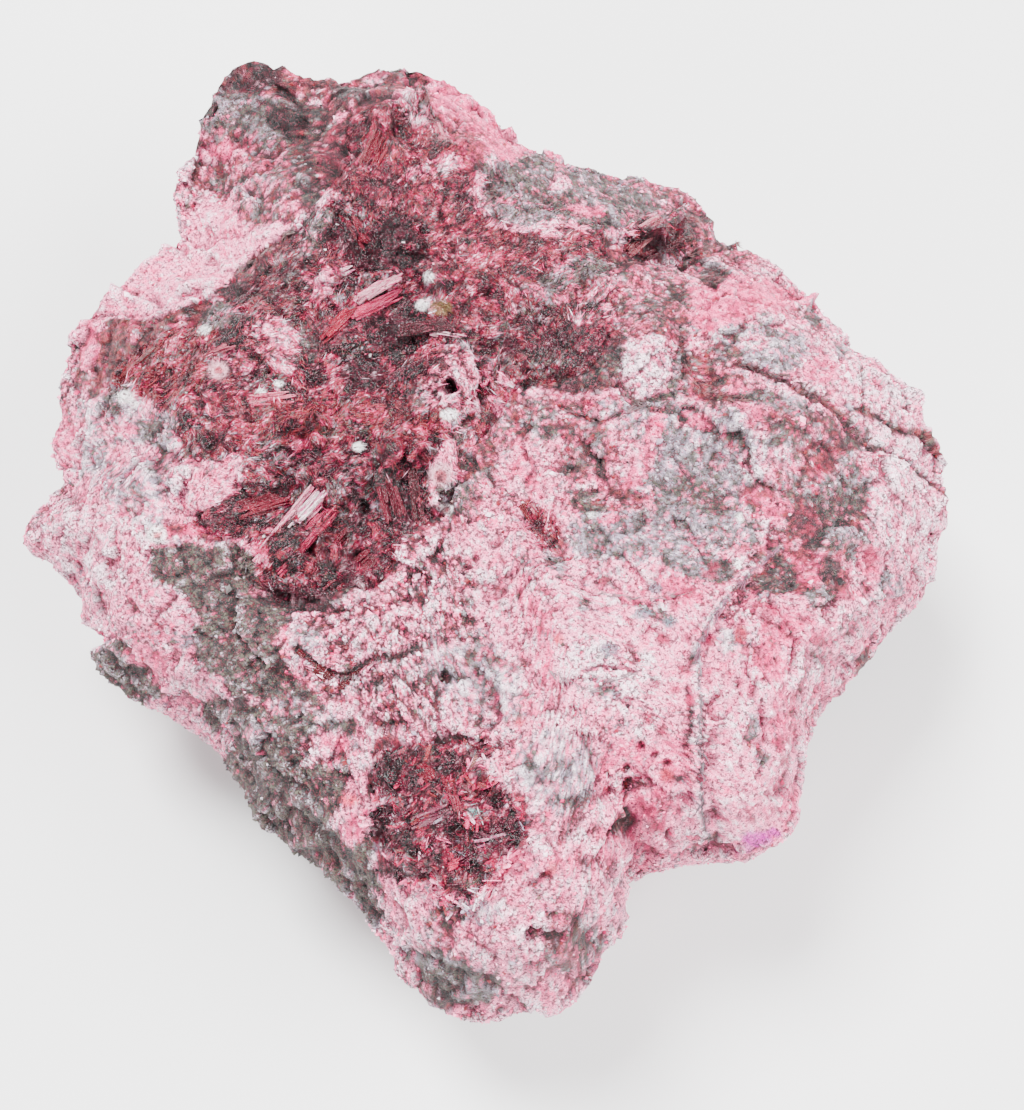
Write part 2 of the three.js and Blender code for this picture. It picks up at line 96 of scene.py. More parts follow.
# Colours from dark to light, as red, green and blue of 255
REDS = [
    (12, 4, 8),  # black
    (64, 8, 28),  # maroon
    (122, 34, 42),  # brick
    (144, 10, 54),  # crimson
    (208, 42, 104),  # rose
    (242, 92, 144),  # pink
    (255, 142, 180),  # blush
    (255, 220, 236),  # white
]
GREYS = [
    (12, 10, 11),  # black
    (36, 31, 33),  # dark
    (80, 74, 64),  # olive
    (102, 94, 100),  # grey
    (152, 134, 154),  # lavender
    (226, 208, 220),  # mist
]

# Moods, each a mixture of colours: the share of greys in all, the parts of each red and of each grey, how
# much it is specked with dark, how much it glints, how fibrous it is and how crumbly
MOODS = {
    "pale": (0.12, (1, 3, 4, 3, 9, 22, 46, 12), (3, 7, 10, 28, 29, 23), 0.9, 0.4, 0.2, 0.3),
    "cream": (0.05, (0, 1, 1, 2, 6, 18, 60, 12), (1, 3, 6, 16, 30, 44), 0.6, 0.2, 0.1, 0.12),
    "sugar": (0.16, (8, 12, 10, 3, 8, 17, 30, 12), (10, 19, 18, 26, 15, 12), 1.0, 0.5, 0.0, 1.0),
    "crumb": (0.24, (14, 15, 13, 4, 7, 14, 22, 11), (18, 22, 17, 20, 12, 11), 1.0, 0.5, 0.1, 1.0),
    "rosy": (0.05, (1, 3, 4, 6, 24, 38, 22, 2), (4, 10, 14, 34, 26, 12), 0.6, 0.4, 0.25, 0.3),
    "snow": (0.08, (0, 1, 2, 2, 5, 16, 44, 30), (2, 4, 6, 14, 24, 50), 0.85, 0.5, 0.1, 0.4),
    "grey": (0.78, (2, 6, 8, 6, 14, 30, 27, 7), (4, 13, 17, 31, 24, 11), 0.6, 0.5, 0.3, 0.25),
    "stone": (0.84, (3, 8, 9, 8, 18, 30, 20, 4), (4, 14, 15, 36, 24, 7), 0.6, 0.4, 0.4, 0.2),
    "slate": (0.88, (8, 15, 13, 8, 14, 22, 16, 4), (9, 30, 26, 26, 8, 1), 0.8, 0.4, 0.3, 0.3),
    "murk": (0.56, (36, 37, 16, 6, 3, 1, 1, 0), (26, 42, 19, 10, 2, 1), 0.7, 0.5, 0.5, 0.3),
    "frosted": (0.56, (2, 4, 4, 3, 8, 23, 36, 20), (5, 11, 12, 25, 28, 19), 0.45, 0.8, 0.45, 0.2),
    "chalk": (0.22, (2, 3, 3, 1, 2, 11, 38, 40), (4, 9, 8, 14, 21, 44), 0.85, 0.6, 0.1, 0.7),
    "olive": (0.94, (10, 22, 26, 4, 12, 18, 6, 2), (17, 38, 36, 7, 1, 1), 0.9, 0.3, 0.0, 0.6),
    "dun": (0.38, (10, 22, 23, 8, 10, 14, 11, 2), (13, 27, 24, 25, 8, 3), 0.8, 0.6, 0.45, 0.3),
    "field": (0.30, (32, 38, 13, 12, 3, 1, 1, 0), (30, 34, 12, 15, 7, 2), 0.5, 1.0, 1.0, 0.1),
    # ink: near black, painted shade where it lies on pits, steps and cracks, the crust's own colour
    # elsewhere
    "ink": (0.14, (62, 36, 1, 1, 0, 0, 0, 0), (70, 28, 1, 1, 0, 0), 0.8, 0.8, 0.9, 0.0),
    "rust": (0.20, (14, 29, 38, 10, 6, 2, 1, 0), (14, 28, 28, 23, 5, 2), 0.5, 0.6, 1.0, 0.1),
    "ruby": (0.10, (24, 31, 18, 18, 5, 2, 1, 1), (18, 30, 18, 21, 7, 6), 0.6, 1.0, 0.7, 0.3),
    "salmon": (0.02, (1, 4, 5, 7, 32, 42, 8, 1), (6, 16, 20, 28, 18, 12), 0.4, 0.5, 0.3, 0.3),
    "flush": (0.04, (9, 17, 16, 25, 23, 7, 2, 1), (10, 22, 20, 28, 12, 8), 0.4, 0.9, 0.6, 0.3),
    "garnet": (0.15, (27, 43, 6, 18, 2, 1, 2, 1), (14, 30, 12, 18, 20, 6), 0.5, 1.0, 0.6, 0.3),
    "frost": (0.24, (14, 21, 12, 9, 12, 14, 12, 6), (12, 22, 15, 20, 14, 17), 0.5, 1.0, 0.7, 0.3),
    "wine": (0.28, (33, 42, 15, 8, 1, 1, 0, 0), (18, 40, 18, 19, 4, 1), 0.6, 0.7, 0.9, 0.1),
    "blood": (0.04, (34, 42, 2, 20, 2, 0, 0, 0), (24, 44, 10, 16, 4, 2), 0.3, 0.8, 0.5, 0.1),
}

# Moods whose outlines and patches have crisp edges
SHARP_MOODS = ("field", "ink", "rust", "ruby", "flush", "wine", "blood", "olive", "murk", "garnet")

# Columns of a mood's row
GREYNESS = 0
RED_PARTS = slice(1, 9)
GREY_PARTS = slice(9, 15)
SPECKS, GLINTS, FIBROUS, CRUMBLY = range(15, 19)

# Outlined areas of the upper side, later ones over earlier: mood, and the pixels of the outline
OUTLINES = [
    # far left lobe and slope
    ("dun", [(200, 92), (262, 90), (292, 110), (300, 160), (298, 205), (240, 200), (196, 190), (190, 140)]),
    ("slate", [
        (198, 94), (225, 90), (262, 92), (292, 112), (302, 138), (268, 142), (230, 132), (196, 128),
    ]),
    ("wine", [
        (212, 88), (222, 70), (238, 50), (258, 50), (275, 60), (287, 75), (298, 96), (284, 104), (252, 90),
    ]),
    ("murk", [
        (276, 104), (300, 96), (322, 102), (336, 122), (324, 152), (320, 202), (300, 200), (294, 156),
        (272, 132),
    ]),
    ("cream", [
        (96, 300), (86, 316), (120, 322), (150, 316), (202, 301), (234, 275), (264, 250), (292, 230),
        (284, 220), (240, 206), (206, 202), (190, 238), (150, 250), (122, 276),
    ]),
    # far end
    ("ruby", [(283, 74), (300, 66), (345, 66), (354, 88), (340, 112), (320, 106), (296, 92)]),
    ("ruby", [
        (350, 84), (375, 66), (415, 50), (444, 62), (474, 92), (500, 120), (500, 160), (480, 156),
        (470, 200), (420, 204), (360, 202), (320, 190), (320, 140), (346, 116),
    ]),
    ("salmon", [
        (426, 44), (490, 74), (524, 110), (566, 144), (650, 170), (668, 196), (640, 196), (590, 186),
        (540, 178), (496, 168), (462, 142), (434, 108),
    ]),
    ("slate", [
        (478, 170), (500, 164), (540, 150), (560, 164), (600, 174), (642, 178), (652, 200), (632, 226),
        (600, 236), (560, 216), (530, 226), (500, 222), (482, 202),
    ]),
    ("dun", [
        (640, 182), (700, 192), (752, 244), (760, 262), (720, 282), (690, 272), (640, 268), (612, 262),
        (622, 222),
    ]),
    ("dun", [
        (500, 262), (560, 262), (620, 256), (700, 272), (700, 340), (622, 340), (600, 300), (520, 304),
        (490, 290),
    ]),
    ("dun", [(690, 338), (722, 342), (748, 380), (730, 396), (700, 402), (680, 396), (690, 366)]),
    # crystal field
    ("field", [
        (232, 276), (262, 252), (290, 232), (304, 210), (336, 204), (400, 202), (480, 206), (490, 226),
        (500, 262), (520, 300), (496, 350), (500, 396), (470, 410), (430, 415), (452, 440), (430, 470),
        (430, 500), (444, 516), (424, 530), (402, 540), (394, 570), (380, 596), (350, 602), (330, 608),
        (290, 602), (256, 590), (250, 545), (200, 540), (176, 526), (206, 508), (236, 488), (240, 462),
        (182, 456), (172, 430), (150, 408), (100, 398), (80, 392), (90, 350), (94, 328), (150, 325),
        (204, 309),
    ]),
    ("ruby", [
        (402, 200), (480, 206), (492, 226), (540, 230), (600, 236), (624, 252), (600, 262), (566, 258),
        (540, 276), (520, 292), (500, 314), (450, 322), (424, 300), (430, 280), (412, 262), (440, 240),
    ]),
    ("rust", [
        (96, 328), (150, 324), (208, 310), (228, 326), (202, 346), (206, 400), (176, 416), (150, 406),
        (120, 396), (92, 402), (76, 386), (84, 350),
    ]),
    ("rust", [
        (240, 396), (300, 400), (345, 404), (400, 394), (440, 404), (452, 440), (400, 452), (350, 442),
        (300, 452), (262, 442), (236, 420),
    ]),
    ("wine", [(236, 280), (264, 254), (292, 236), (302, 262), (300, 300), (262, 316), (236, 304)]),
    ("frost", [(252, 328), (290, 324), (298, 346), (288, 370), (272, 362), (258, 346)]),
    ("frost", [(300, 272), (326, 262), (346, 256), (340, 282), (318, 298), (302, 290)]),
    ("slate", [(300, 212), (332, 216), (334, 240), (310, 252), (298, 238)]),
    ("pale", [
        (166, 464), (200, 455), (226, 454), (238, 470), (230, 490), (206, 512), (180, 522), (166, 508),
        (174, 485),
    ]),
    ("crumb", [
        (436, 348), (462, 334), (482, 338), (491, 354), (481, 380), (478, 402), (462, 422), (438, 414),
        (414, 402), (410, 388), (430, 374), (444, 362),
    ]),
    ("dun", [
        (450, 426), (482, 404), (500, 396), (560, 396), (620, 396), (640, 410), (610, 440), (600, 480),
        (566, 486), (548, 446), (520, 440), (500, 450), (490, 480), (478, 504), (452, 520), (434, 504),
        (456, 470), (448, 446),
    ]),
    ("wine", [
        (500, 332), (514, 316), (545, 306), (576, 298), (602, 308), (624, 334), (620, 362), (612, 386),
        (580, 392), (540, 392), (512, 386), (498, 366), (496, 346),
    ]),
    # middle right
    ("grey", [
        (600, 402), (640, 398), (700, 402), (745, 416), (762, 440), (756, 470), (772, 490), (750, 510),
        (764, 540), (740, 554), (700, 550), (660, 558), (600, 562), (566, 540), (580, 500), (600, 480),
        (640, 470), (656, 450), (640, 430), (610, 430),
    ]),
    ("stone", [
        (652, 440), (700, 440), (740, 452), (735, 480), (735, 515), (716, 530), (676, 522), (656, 504),
    ]),
    ("stone", [(560, 548), (600, 520), (640, 512), (666, 530), (656, 556), (620, 560), (600, 545)]),
    ("dun", [(556, 438), (584, 436), (606, 456), (612, 478), (588, 482), (566, 466)]),
    ("dun", [(622, 266), (660, 262), (690, 280), (686, 320), (664, 336), (636, 330), (620, 300)]),
    ("salmon", [
        (690, 280), (740, 270), (800, 288), (826, 306), (770, 312), (730, 326), (704, 338), (690, 312),
    ]),
    ("grey", [
        (710, 336), (730, 322), (772, 316), (802, 334), (802, 360), (780, 373), (748, 368), (728, 356),
    ]),
    ("chalk", [
        (624, 340), (650, 334), (676, 344), (684, 368), (676, 394), (648, 400), (626, 390), (620, 364),
    ]),
    # right side
    ("dun", [
        (770, 400), (800, 404), (850, 430), (870, 470), (866, 552), (830, 560), (790, 545), (770, 500),
        (764, 440),
    ]),
    ("slate", [
        (820, 472), (850, 450), (862, 480), (852, 520), (864, 545), (846, 562), (828, 536), (816, 500),
    ]),
    ("ruby", [(812, 442), (840, 430), (852, 446), (826, 470), (806, 486), (800, 468)]),
    ("blood", [(792, 506), (812, 500), (824, 524), (820, 548), (802, 544), (792, 526)]),
    ("sugar", [(858, 352), (884, 352), (918, 380), (924, 420), (890, 418), (862, 396)]),
    ("flush", [(764, 530), (800, 548), (838, 560), (850, 596), (820, 610), (790, 592), (762, 560)]),
    ("snow", [(846, 352), (884, 350), (922, 380), (940, 430), (900, 440), (862, 424), (840, 396)]),
    ("snow", [(872, 436), (930, 436), (952, 500), (944, 560), (910, 570), (884, 540), (880, 480)]),
    ("murk", [(750, 556), (775, 546), (794, 560), (798, 584), (770, 600), (748, 590)]),
    # near left
    ("frosted", [
        (80, 405), (105, 398), (125, 392), (150, 408), (168, 420), (172, 450), (165, 465), (170, 490),
        (160, 524), (140, 542), (110, 522), (95, 482), (76, 450), (78, 425),
    ]),
    ("olive", [
        (150, 546), (180, 540), (205, 544), (236, 544), (252, 560), (258, 594), (290, 606), (288, 625),
        (272, 642), (286, 660), (312, 690), (320, 702), (262, 702), (232, 696), (214, 672), (194, 656),
        (186, 640), (198, 620), (190, 600), (165, 586), (148, 570),
    ]),
    ("olive", [
        (232, 706), (262, 702), (302, 706), (320, 720), (326, 742), (342, 748), (346, 790), (336, 820),
        (352, 850), (372, 870), (378, 892), (345, 900), (318, 874), (286, 854), (256, 834), (240, 800),
        (222, 762), (232, 735),
    ]),
    ("olive", [
        (94, 650), (110, 645), (136, 655), (152, 675), (170, 694), (140, 704), (108, 694), (92, 672),
    ]),
    # crumbly middle
    ("crumb", [
        (300, 612), (345, 608), (378, 602), (394, 578), (402, 546), (440, 530), (470, 560), (476, 600),
        (480, 640), (460, 700), (430, 742), (380, 736), (372, 700), (400, 690), (350, 700), (320, 690),
        (298, 650),
    ]),
    ("sugar", [(304, 620), (345, 612), (400, 612), (414, 636), (380, 656), (345, 668), (318, 658)]),
    ("frosted", [
        (428, 642), (480, 640), (520, 664), (534, 700), (520, 724), (480, 712), (452, 700), (426, 672),
    ]),
    # near right
    ("cream", [
        (560, 602), (600, 596), (640, 604), (690, 596), (744, 640), (762, 690), (700, 700), (640, 712),
        (590, 712), (552, 690), (544, 640),
    ]),
    ("chalk", [(566, 646), (600, 638), (650, 652), (662, 690), (640, 712), (600, 708), (570, 680)]),
    ("frosted", [
        (520, 740), (560, 728), (592, 744), (602, 770), (592, 802), (560, 812), (535, 802), (518, 780),
    ]),
    ("cream", [(706, 700), (770, 690), (806, 730), (806, 800), (780, 840), (712, 842), (704, 790)]),
    ("rosy", [(748, 600), (790, 608), (832, 630), (800, 646), (760, 632)]),
    ("rosy", [(600, 740), (652, 736), (690, 760), (694, 800), (660, 850), (610, 850), (596, 800)]),
    ("dun", [(540, 912), (580, 908), (600, 940), (592, 984), (556, 976), (540, 946)]),
    ("slate", [
        (404, 952), (440, 944), (468, 954), (500, 978), (494, 1008), (458, 1014), (426, 1000), (408, 976),
    ]),
    ("pale", [(430, 934), (480, 926), (510, 936), (520, 956), (484, 960), (460, 948)]),
    # pocket
    ("garnet", [
        (366, 754), (378, 734), (400, 742), (440, 740), (465, 734), (492, 742), (500, 790), (522, 800),
        (528, 830), (516, 850), (496, 856), (490, 880), (475, 900), (452, 896), (440, 880), (400, 882),
        (384, 870), (376, 850), (370, 820), (380, 800), (364, 790),
    ]),
    ("ruby", [(400, 752), (450, 748), (492, 760), (496, 790), (450, 800), (410, 800), (396, 780)]),
]

# Oval patches over them, later ones over earlier: mood, pixel x, pixel y, radii in pixels, turn in degrees
PATCHES = [
    # far end
    ("salmon", 472, 108, 36, 16, 45), ("flush", 464, 150, 20, 26, 0), ("dun", 262, 213, 26, 12, 0),
    ("rosy", 510, 196, 12, 9, 0), ("pale", 560, 184, 10, 8, 0), ("rosy", 590, 210, 16, 6, 10),
    ("ink", 340, 92, 10, 5, 0), ("blood", 340, 150, 18, 26, 0), ("blood", 383, 182, 20, 12, 0),
    ("blood", 462, 186, 14, 14, 0), ("frost", 430, 170, 34, 10, -25), ("frost", 412, 108, 24, 12, 20),
    ("frost", 380, 80, 22, 5, -15), ("slate", 512, 185, 14, 20, 0), ("ink", 286, 122, 20, 9, 10),
    ("ink", 362, 98, 12, 8, 0), ("ink", 270, 78, 14, 10, 0), ("rosy", 222, 150, 28, 10, 0),
    ("slate", 640, 206, 22, 12, 0), ("ink", 655, 244, 30, 8, -6), ("ink", 632, 258, 16, 6, 10),
    ("wine", 664, 232, 34, 20, -12), ("wine", 713, 272, 14, 8, 10), ("wine", 710, 222, 9, 14, 20),
    # crystal field
    # The ink patches on the field's pits and steps are painted shade in those hollows
    ("ink", 345, 238, 23, 12, 0), ("ink", 397, 232, 18, 15, 0), ("ink", 386, 258, 40, 11, 4),
    ("ink", 384, 328, 32, 18, 4), ("ink", 360, 370, 26, 20, 0), ("ink", 450, 290, 22, 9, -5),
    ("ink", 487, 288, 13, 5, -20), ("wine", 285, 492, 34, 9, -8), ("wine", 208, 442, 22, 13, 0),
    ("ink", 402, 506, 20, 19, 0), ("wine", 527, 304, 14, 9, 0), ("rust", 506, 394, 14, 8, 0),
    ("ink", 358, 520, 11, 18, 0), ("ink", 350, 560, 12, 14, 0), ("ink", 300, 598, 42, 11, 4),
    ("ink", 350, 586, 22, 12, -10), ("blood", 372, 318, 24, 12, -30), ("wine", 322, 548, 26, 26, 0),
    ("blood", 330, 335, 20, 14, -30), ("blood", 365, 560, 14, 20, 0), ("blood", 222, 512, 30, 10, -10),
    ("ruby", 222, 405, 46, 12, 4), ("flush", 262, 560, 10, 16, 0), ("slate", 218, 316, 14, 14, 0),
    ("murk", 310, 340, 10, 22, 0), ("murk", 385, 480, 10, 34, 0), ("murk", 345, 535, 8, 16, 0),
    ("pale", 325, 282, 9, 10, 0), ("frost", 236, 362, 18, 9, 20), ("frost", 430, 304, 14, 8, 0),
    ("frost", 435, 280, 9, 10, 0), ("slate", 171, 428, 7, 16, 0), ("slate", 555, 280, 14, 12, 0),
    ("slate", 585, 266, 22, 12, 0), ("ink", 510, 345, 9, 14, 0), ("ink", 556, 336, 12, 12, 0),
    ("blood", 592, 330, 22, 22, 0), ("ruby", 470, 300, 30, 20, 0), ("frost", 582, 316, 10, 8, 0),
    ("frost", 600, 300, 10, 14, 0), ("ink", 448, 388, 8, 10, 0), ("pale", 530, 470, 20, 20, 0),
    ("slate", 545, 430, 16, 12, 0), ("rosy", 520, 462, 12, 22, 20), ("slate", 458, 492, 20, 10, 0),
    ("rosy", 126, 430, 12, 8, 0), ("slate", 115, 404, 12, 12, 0), ("slate", 152, 436, 16, 14, 20),
    ("pale", 128, 450, 26, 7, 0), ("rosy", 62, 436, 11, 26, 0), ("snow", 96, 546, 56, 36, 10),
    ("rosy", 88, 345, 9, 20, 0), ("flush", 190, 530, 26, 6, 5),
    # middle right
    ("ruby", 545, 528, 13, 32, -32), ("grey", 556, 566, 10, 14, -20), ("slate", 705, 496, 24, 18, 20),
    ("rosy", 652, 440, 9, 34, 12), ("rosy", 634, 476, 10, 14, 30), ("rosy", 608, 519, 11, 5, 0),
    ("blood", 680, 420, 7, 7, 0), ("chalk", 752, 464, 17, 12, 10), ("flush", 755, 492, 16, 13, 30),
    ("rosy", 785, 455, 10, 18, -20), ("rosy", 772, 504, 12, 16, 0), ("rosy", 745, 405, 14, 24, -20),
    ("grey", 785, 405, 24, 12, 20), ("slate", 812, 314, 10, 10, 30), ("slate", 785, 438, 18, 14, 20),
    ("pale", 785, 456, 9, 16, 20), ("olive", 590, 500, 24, 14, 0), ("dun", 622, 500, 30, 14, 10),
    ("stone", 694, 566, 34, 16, 10), ("rosy", 672, 578, 24, 10, 20), ("slate", 720, 574, 14, 12, 0),
    ("chalk", 738, 564, 8, 7, 0), ("rosy", 700, 420, 14, 10, 0), ("rust", 700, 372, 16, 14, 40),
    ("murk", 728, 350, 16, 7, 20), ("chalk", 755, 340, 12, 8, 0), ("rosy", 820, 370, 20, 14, 0),
    ("grey", 842, 352, 12, 10, 0), ("rust", 860, 412, 12, 6, 0), ("slate", 860, 436, 13, 9, 0),
    ("slate", 764, 398, 18, 12, 0), ("rust", 920, 436, 12, 6, 30), ("chalk", 928, 510, 8, 22, 0),
    ("chalk", 888, 398, 26, 16, 25), ("wine", 832, 572, 9, 22, -10), ("rosy", 868, 562, 14, 20, 0),
    ("slate", 818, 598, 18, 10, 0), ("ruby", 862, 664, 9, 14, 20), ("grey", 885, 585, 12, 14, 0),
    # near left
    ("olive", 214, 716, 16, 16, 30), ("olive", 366, 912, 20, 12, 50), ("grey", 415, 962, 16, 10, 20),
    ("olive", 362, 852, 12, 22, 0), ("slate", 350, 750, 10, 8, 0), ("slate", 340, 728, 16, 11, 0),
    ("olive", 440, 978, 20, 16, 20), ("slate", 308, 706, 24, 8, 20), ("pale", 212, 680, 18, 8, 10),
    ("sugar", 326, 750, 24, 16, 10), ("rosy", 150, 660, 26, 12, 20), ("grey", 288, 708, 14, 8, 0),
    ("rosy", 354, 828, 10, 12, 0), ("frosted", 300, 640, 16, 14, 0), ("grey", 182, 640, 14, 8, 0),
    ("slate", 262, 730, 20, 10, 20), ("ink", 243, 702, 9, 6, 0), ("rosy", 336, 742, 12, 9, 0),
    # near right
    ("crumb", 486, 745, 18, 26, -10), ("garnet", 482, 752, 16, 8, 0), ("cream", 690, 800, 18, 18, 0),
    ("rosy", 620, 850, 16, 9, 0), ("rosy", 792, 800, 12, 24, 0), ("salmon", 770, 660, 16, 24, -20),
    ("salmon", 682, 590, 24, 10, 20), ("grey", 602, 690, 14, 9, 10), ("slate", 655, 612, 22, 8, 20),
    ("slate", 584, 604, 8, 7, 0), ("slate", 604, 585, 9, 8, 0), ("sugar", 622, 778, 16, 12, 0),
    ("wine", 622, 822, 14, 14, 0), ("grey", 752, 728, 10, 16, 0), ("slate", 575, 800, 16, 9, 0),
    ("rosy", 540, 865, 44, 12, 0), ("frosted", 470, 912, 34, 12, 0), ("wine", 443, 1004, 14, 9, 20),
    ("slate", 480, 660, 20, 10, 10), ("slate", 445, 670, 12, 8, 0), ("rosy", 545, 640, 12, 50, -8),
    ("frosted", 735, 640, 20, 14, 0), ("rosy", 668, 750, 26, 20, 0), ("rosy", 780, 720, 16, 30, 0),
    ("wine", 710, 838, 14, 6, 10), ("slate", 762, 760, 8, 9, 0),
    # pocket
    ("ink", 388, 772, 12, 18, 0), ("ink", 384, 818, 14, 14, 0), ("ink", 452, 762, 14, 9, 0),
    ("blood", 446, 866, 16, 14, 0), ("blood", 420, 780, 20, 14, 0), ("ruby", 460, 880, 18, 14, 0),
    ("ink", 476, 868, 8, 8, 0), ("dun", 448, 915, 14, 18, 0),
]

# Lines that several of the next tables follow
CLEFT = [(700, 710), (702, 775), (701, 801), (709, 842)]
CLEFT_BEND = [(781, 547), (744, 579), (722, 605), (706, 630)]
RIGHT_CRACK = [(735, 362), (785, 377), (820, 397), (847, 421)]
RIGHT_BRANCH = [(864, 365), (861, 390), (860, 412)]
RIGHT_TURN = [(860, 410), (892, 422), (915, 437), (940, 452)]
GROOVE = [(297, 650), (316, 664), (338, 677), (356, 670), (375, 660), (402, 653), (424, 647)]
FIELD_RIM = [(87, 317), (140, 316), (193, 296), (230, 282), (266, 250), (293, 231)]

# Lines that are painted with a mood: mood, half-width in pixels, and their pixels
VEINS = [
    ("rust", 4, RIGHT_CRACK),
    ("dun", 3, [(847, 421), (868, 446), (900, 457), (930, 480), (948, 492)]),
    ("dun", 2, RIGHT_BRANCH), ("rust", 3, RIGHT_TURN),
    ("rust", 5, [(683, 345), (688, 375), (702, 394), (745, 400)]),
    ("wine", 4, [(618, 258), (672, 255), (715, 245), (744, 240)]),
    ("wine", 4, [(225, 282), (262, 252), (290, 230)]),
    ("wine", 4, GROOVE),
    # The slate and ink lines along the cleft and its bend are painted shade of the thin crack there
    ("slate", 1.6, [(701, 640), *CLEFT]),
    ("ink", 1.2, [(702, 700), (704, 770), (702, 800), (707, 838)]),
    ("slate", 3, [*CLEFT_BEND, (695, 662)]),
    ("blood", 3, [(688, 690), (692, 730), (684, 752)]), ("blood", 3, [(664, 770), (680, 778), (690, 772)]),
    ("rosy", 4, [(522, 582), (535, 630), (551, 688)]), ("rosy", 4, [(516, 437), (527, 466), (536, 495)]),
    ("slate", 3, [(504, 318), (495, 355), (487, 379)]), ("slate", 3, [(683, 345), (676, 392), (640, 400)]),
    ("ink", 2, [(520, 330), (540, 320), (575, 322)]), ("rosy", 3, [(600, 590), (640, 600), (690, 592)]),
    ("ruby", 3, [(560, 225), (590, 240), (606, 262)]), ("rust", 3, [(110, 324), (150, 322), (205, 304)]),
]

# Colours that several spots share
CRIMSON = (164, 8, 72)
DEEP_CRIMSON = (150, 4, 62)
DARK_CRIMSON = (136, 2, 54)
PALE_CRIMSON = (206, 60, 90)
STEEL = (96, 104, 118)
WHITE_GLINT = (255, 250, 252)

# Small spots of one colour, later ones over earlier: the colour, pixel x, pixel y and radii in pixels
SPOTS = [
    ((200, 0, 168), 757, 839, 14, 7), ((200, 8, 168), 775, 832, 6, 4), ((236, 110, 190), 744, 848, 7, 4),
    ((120, 200, 196), 474, 812, 4, 3.5), ((214, 40, 76), 350, 800, 8, 5), (DARK_CRIMSON, 663, 638, 7, 5),
    (DARK_CRIMSON, 604, 582, 5, 4), (DARK_CRIMSON, 713, 566, 5, 4), (DARK_CRIMSON, 655, 826, 4, 6),
    (DEEP_CRIMSON, 690, 592, 6, 5), (DEEP_CRIMSON, 676, 604, 5, 4), ((176, 24, 60), 741, 634, 6, 8),
    (CRIMSON, 770, 612, 9, 6), (CRIMSON, 786, 624, 7, 5), (DEEP_CRIMSON, 708, 575, 6, 4),
    (CRIMSON, 630, 620, 5, 4), (DEEP_CRIMSON, 650, 720, 5, 5), (DEEP_CRIMSON, 662, 730, 5, 7),
    ((176, 24, 60), 666, 774, 7, 6), (CRIMSON, 690, 700, 5, 5), (CRIMSON, 652, 812, 6, 7),
    (CRIMSON, 640, 800, 4, 5), (CRIMSON, 660, 826, 5, 5), (CRIMSON, 706, 780, 4, 6),
    (CRIMSON, 780, 745, 6, 8), (CRIMSON, 676, 690, 5, 4), (DEEP_CRIMSON, 712, 640, 5, 6),
    (DEEP_CRIMSON, 870, 556, 6, 9), (CRIMSON, 846, 596, 6, 5), (CRIMSON, 818, 640, 6, 6),
    (PALE_CRIMSON, 560, 640, 5, 4), (PALE_CRIMSON, 520, 720, 5, 4), (PALE_CRIMSON, 552, 868, 5, 5),
    (DARK_CRIMSON, 580, 852, 4, 4), (DARK_CRIMSON, 754, 818, 4, 4), (DARK_CRIMSON, 784, 761, 4, 5),
    ((255, 248, 250), 157, 534, 9, 8), ((196, 40, 66), 158, 534, 4, 3.5),
    ((214, 160, 174), 441, 474, 10, 10), ((140, 20, 46), 441, 476, 6, 6), ((50, 20, 28), 441, 478, 3, 3),
    ((248, 230, 236), 447, 507, 6, 5), ((150, 30, 56), 447, 508, 3, 3), ((236, 170, 186), 218, 371, 9, 8),
    ((150, 20, 50), 219, 371, 4, 3.5), (WHITE_GLINT, 205, 330, 5, 4), (WHITE_GLINT, 126, 398, 8, 5),
    (WHITE_GLINT, 134, 405, 5, 4), (WHITE_GLINT, 261, 393, 4, 3), (WHITE_GLINT, 279, 384, 4, 3),
    (WHITE_GLINT, 358, 447, 5, 4), (WHITE_GLINT, 422, 306, 6, 5), (WHITE_GLINT, 429, 277, 5, 5),
    (WHITE_GLINT, 591, 515, 4, 3), (WHITE_GLINT, 737, 563, 4, 4), (WHITE_GLINT, 740, 517, 3, 4),
    (WHITE_GLINT, 448, 415, 8, 5), ((120, 100, 60), 441, 308, 10, 7), (STEEL, 642, 612, 8, 5),
    (STEEL, 671, 622, 7, 4), (STEEL, 655, 587, 7, 5), (STEEL, 610, 650, 9, 6),
]

# Cracks and clefts: half-width in pixels, depth in mm, and their pixels. A depth less than 0 fills up one of
# the solid's.
CRACKS = [
    (7.0, -0.5, [(701, 650), *CLEFT]), (6.0, -0.4, [*CLEFT_BEND, (699, 650)]),
    (2.6, 0.45, [*RIGHT_CRACK, (868, 446), (900, 457), (930, 480), (950, 494)]),
    (2.0, 0.4, RIGHT_BRANCH), (2.0, 0.35, RIGHT_TURN),
    (2.4, 0.3, [(618, 350), (622, 396), (655, 408), (684, 402), (686, 345)]),
    (3.0, 0.3, FIELD_RIM), (3.0, 0.6, GROOVE),
    (3.0, 0.7, [(618, 264), (672, 262), (715, 252), (744, 247)]),
    (2.5, 0.5, [(400, 955), (430, 958), (462, 972)]), (2.0, 0.4, [(540, 560), (520, 600), (528, 650)]),
    (2.5, 0.6, [(553, 684), (600, 668), (640, 672)]), (2.5, 0.5, [(560, 408), (600, 420), (640, 405)]),
    (2.5, 0.5, [(82, 622), (112, 642), (150, 668)]), (2.0, 0.5, [(760, 700), (768, 740), (758, 780)]),
    (2.5, 0.5, [(770, 600), (800, 640), (790, 680)]),
]

# Lines where the solid's facets are smoothed away: half-width in pixels, and their pixels
SMOOTHED = [
    (16, [(703, 640), *CLEFT]), (14, [*CLEFT_BEND, (699, 650)]),
    (16, [(515, 715), (550, 712), (590, 712)]),
    (14, [(842, 427), (870, 432), (900, 445), (915, 452), (935, 475)]),
]
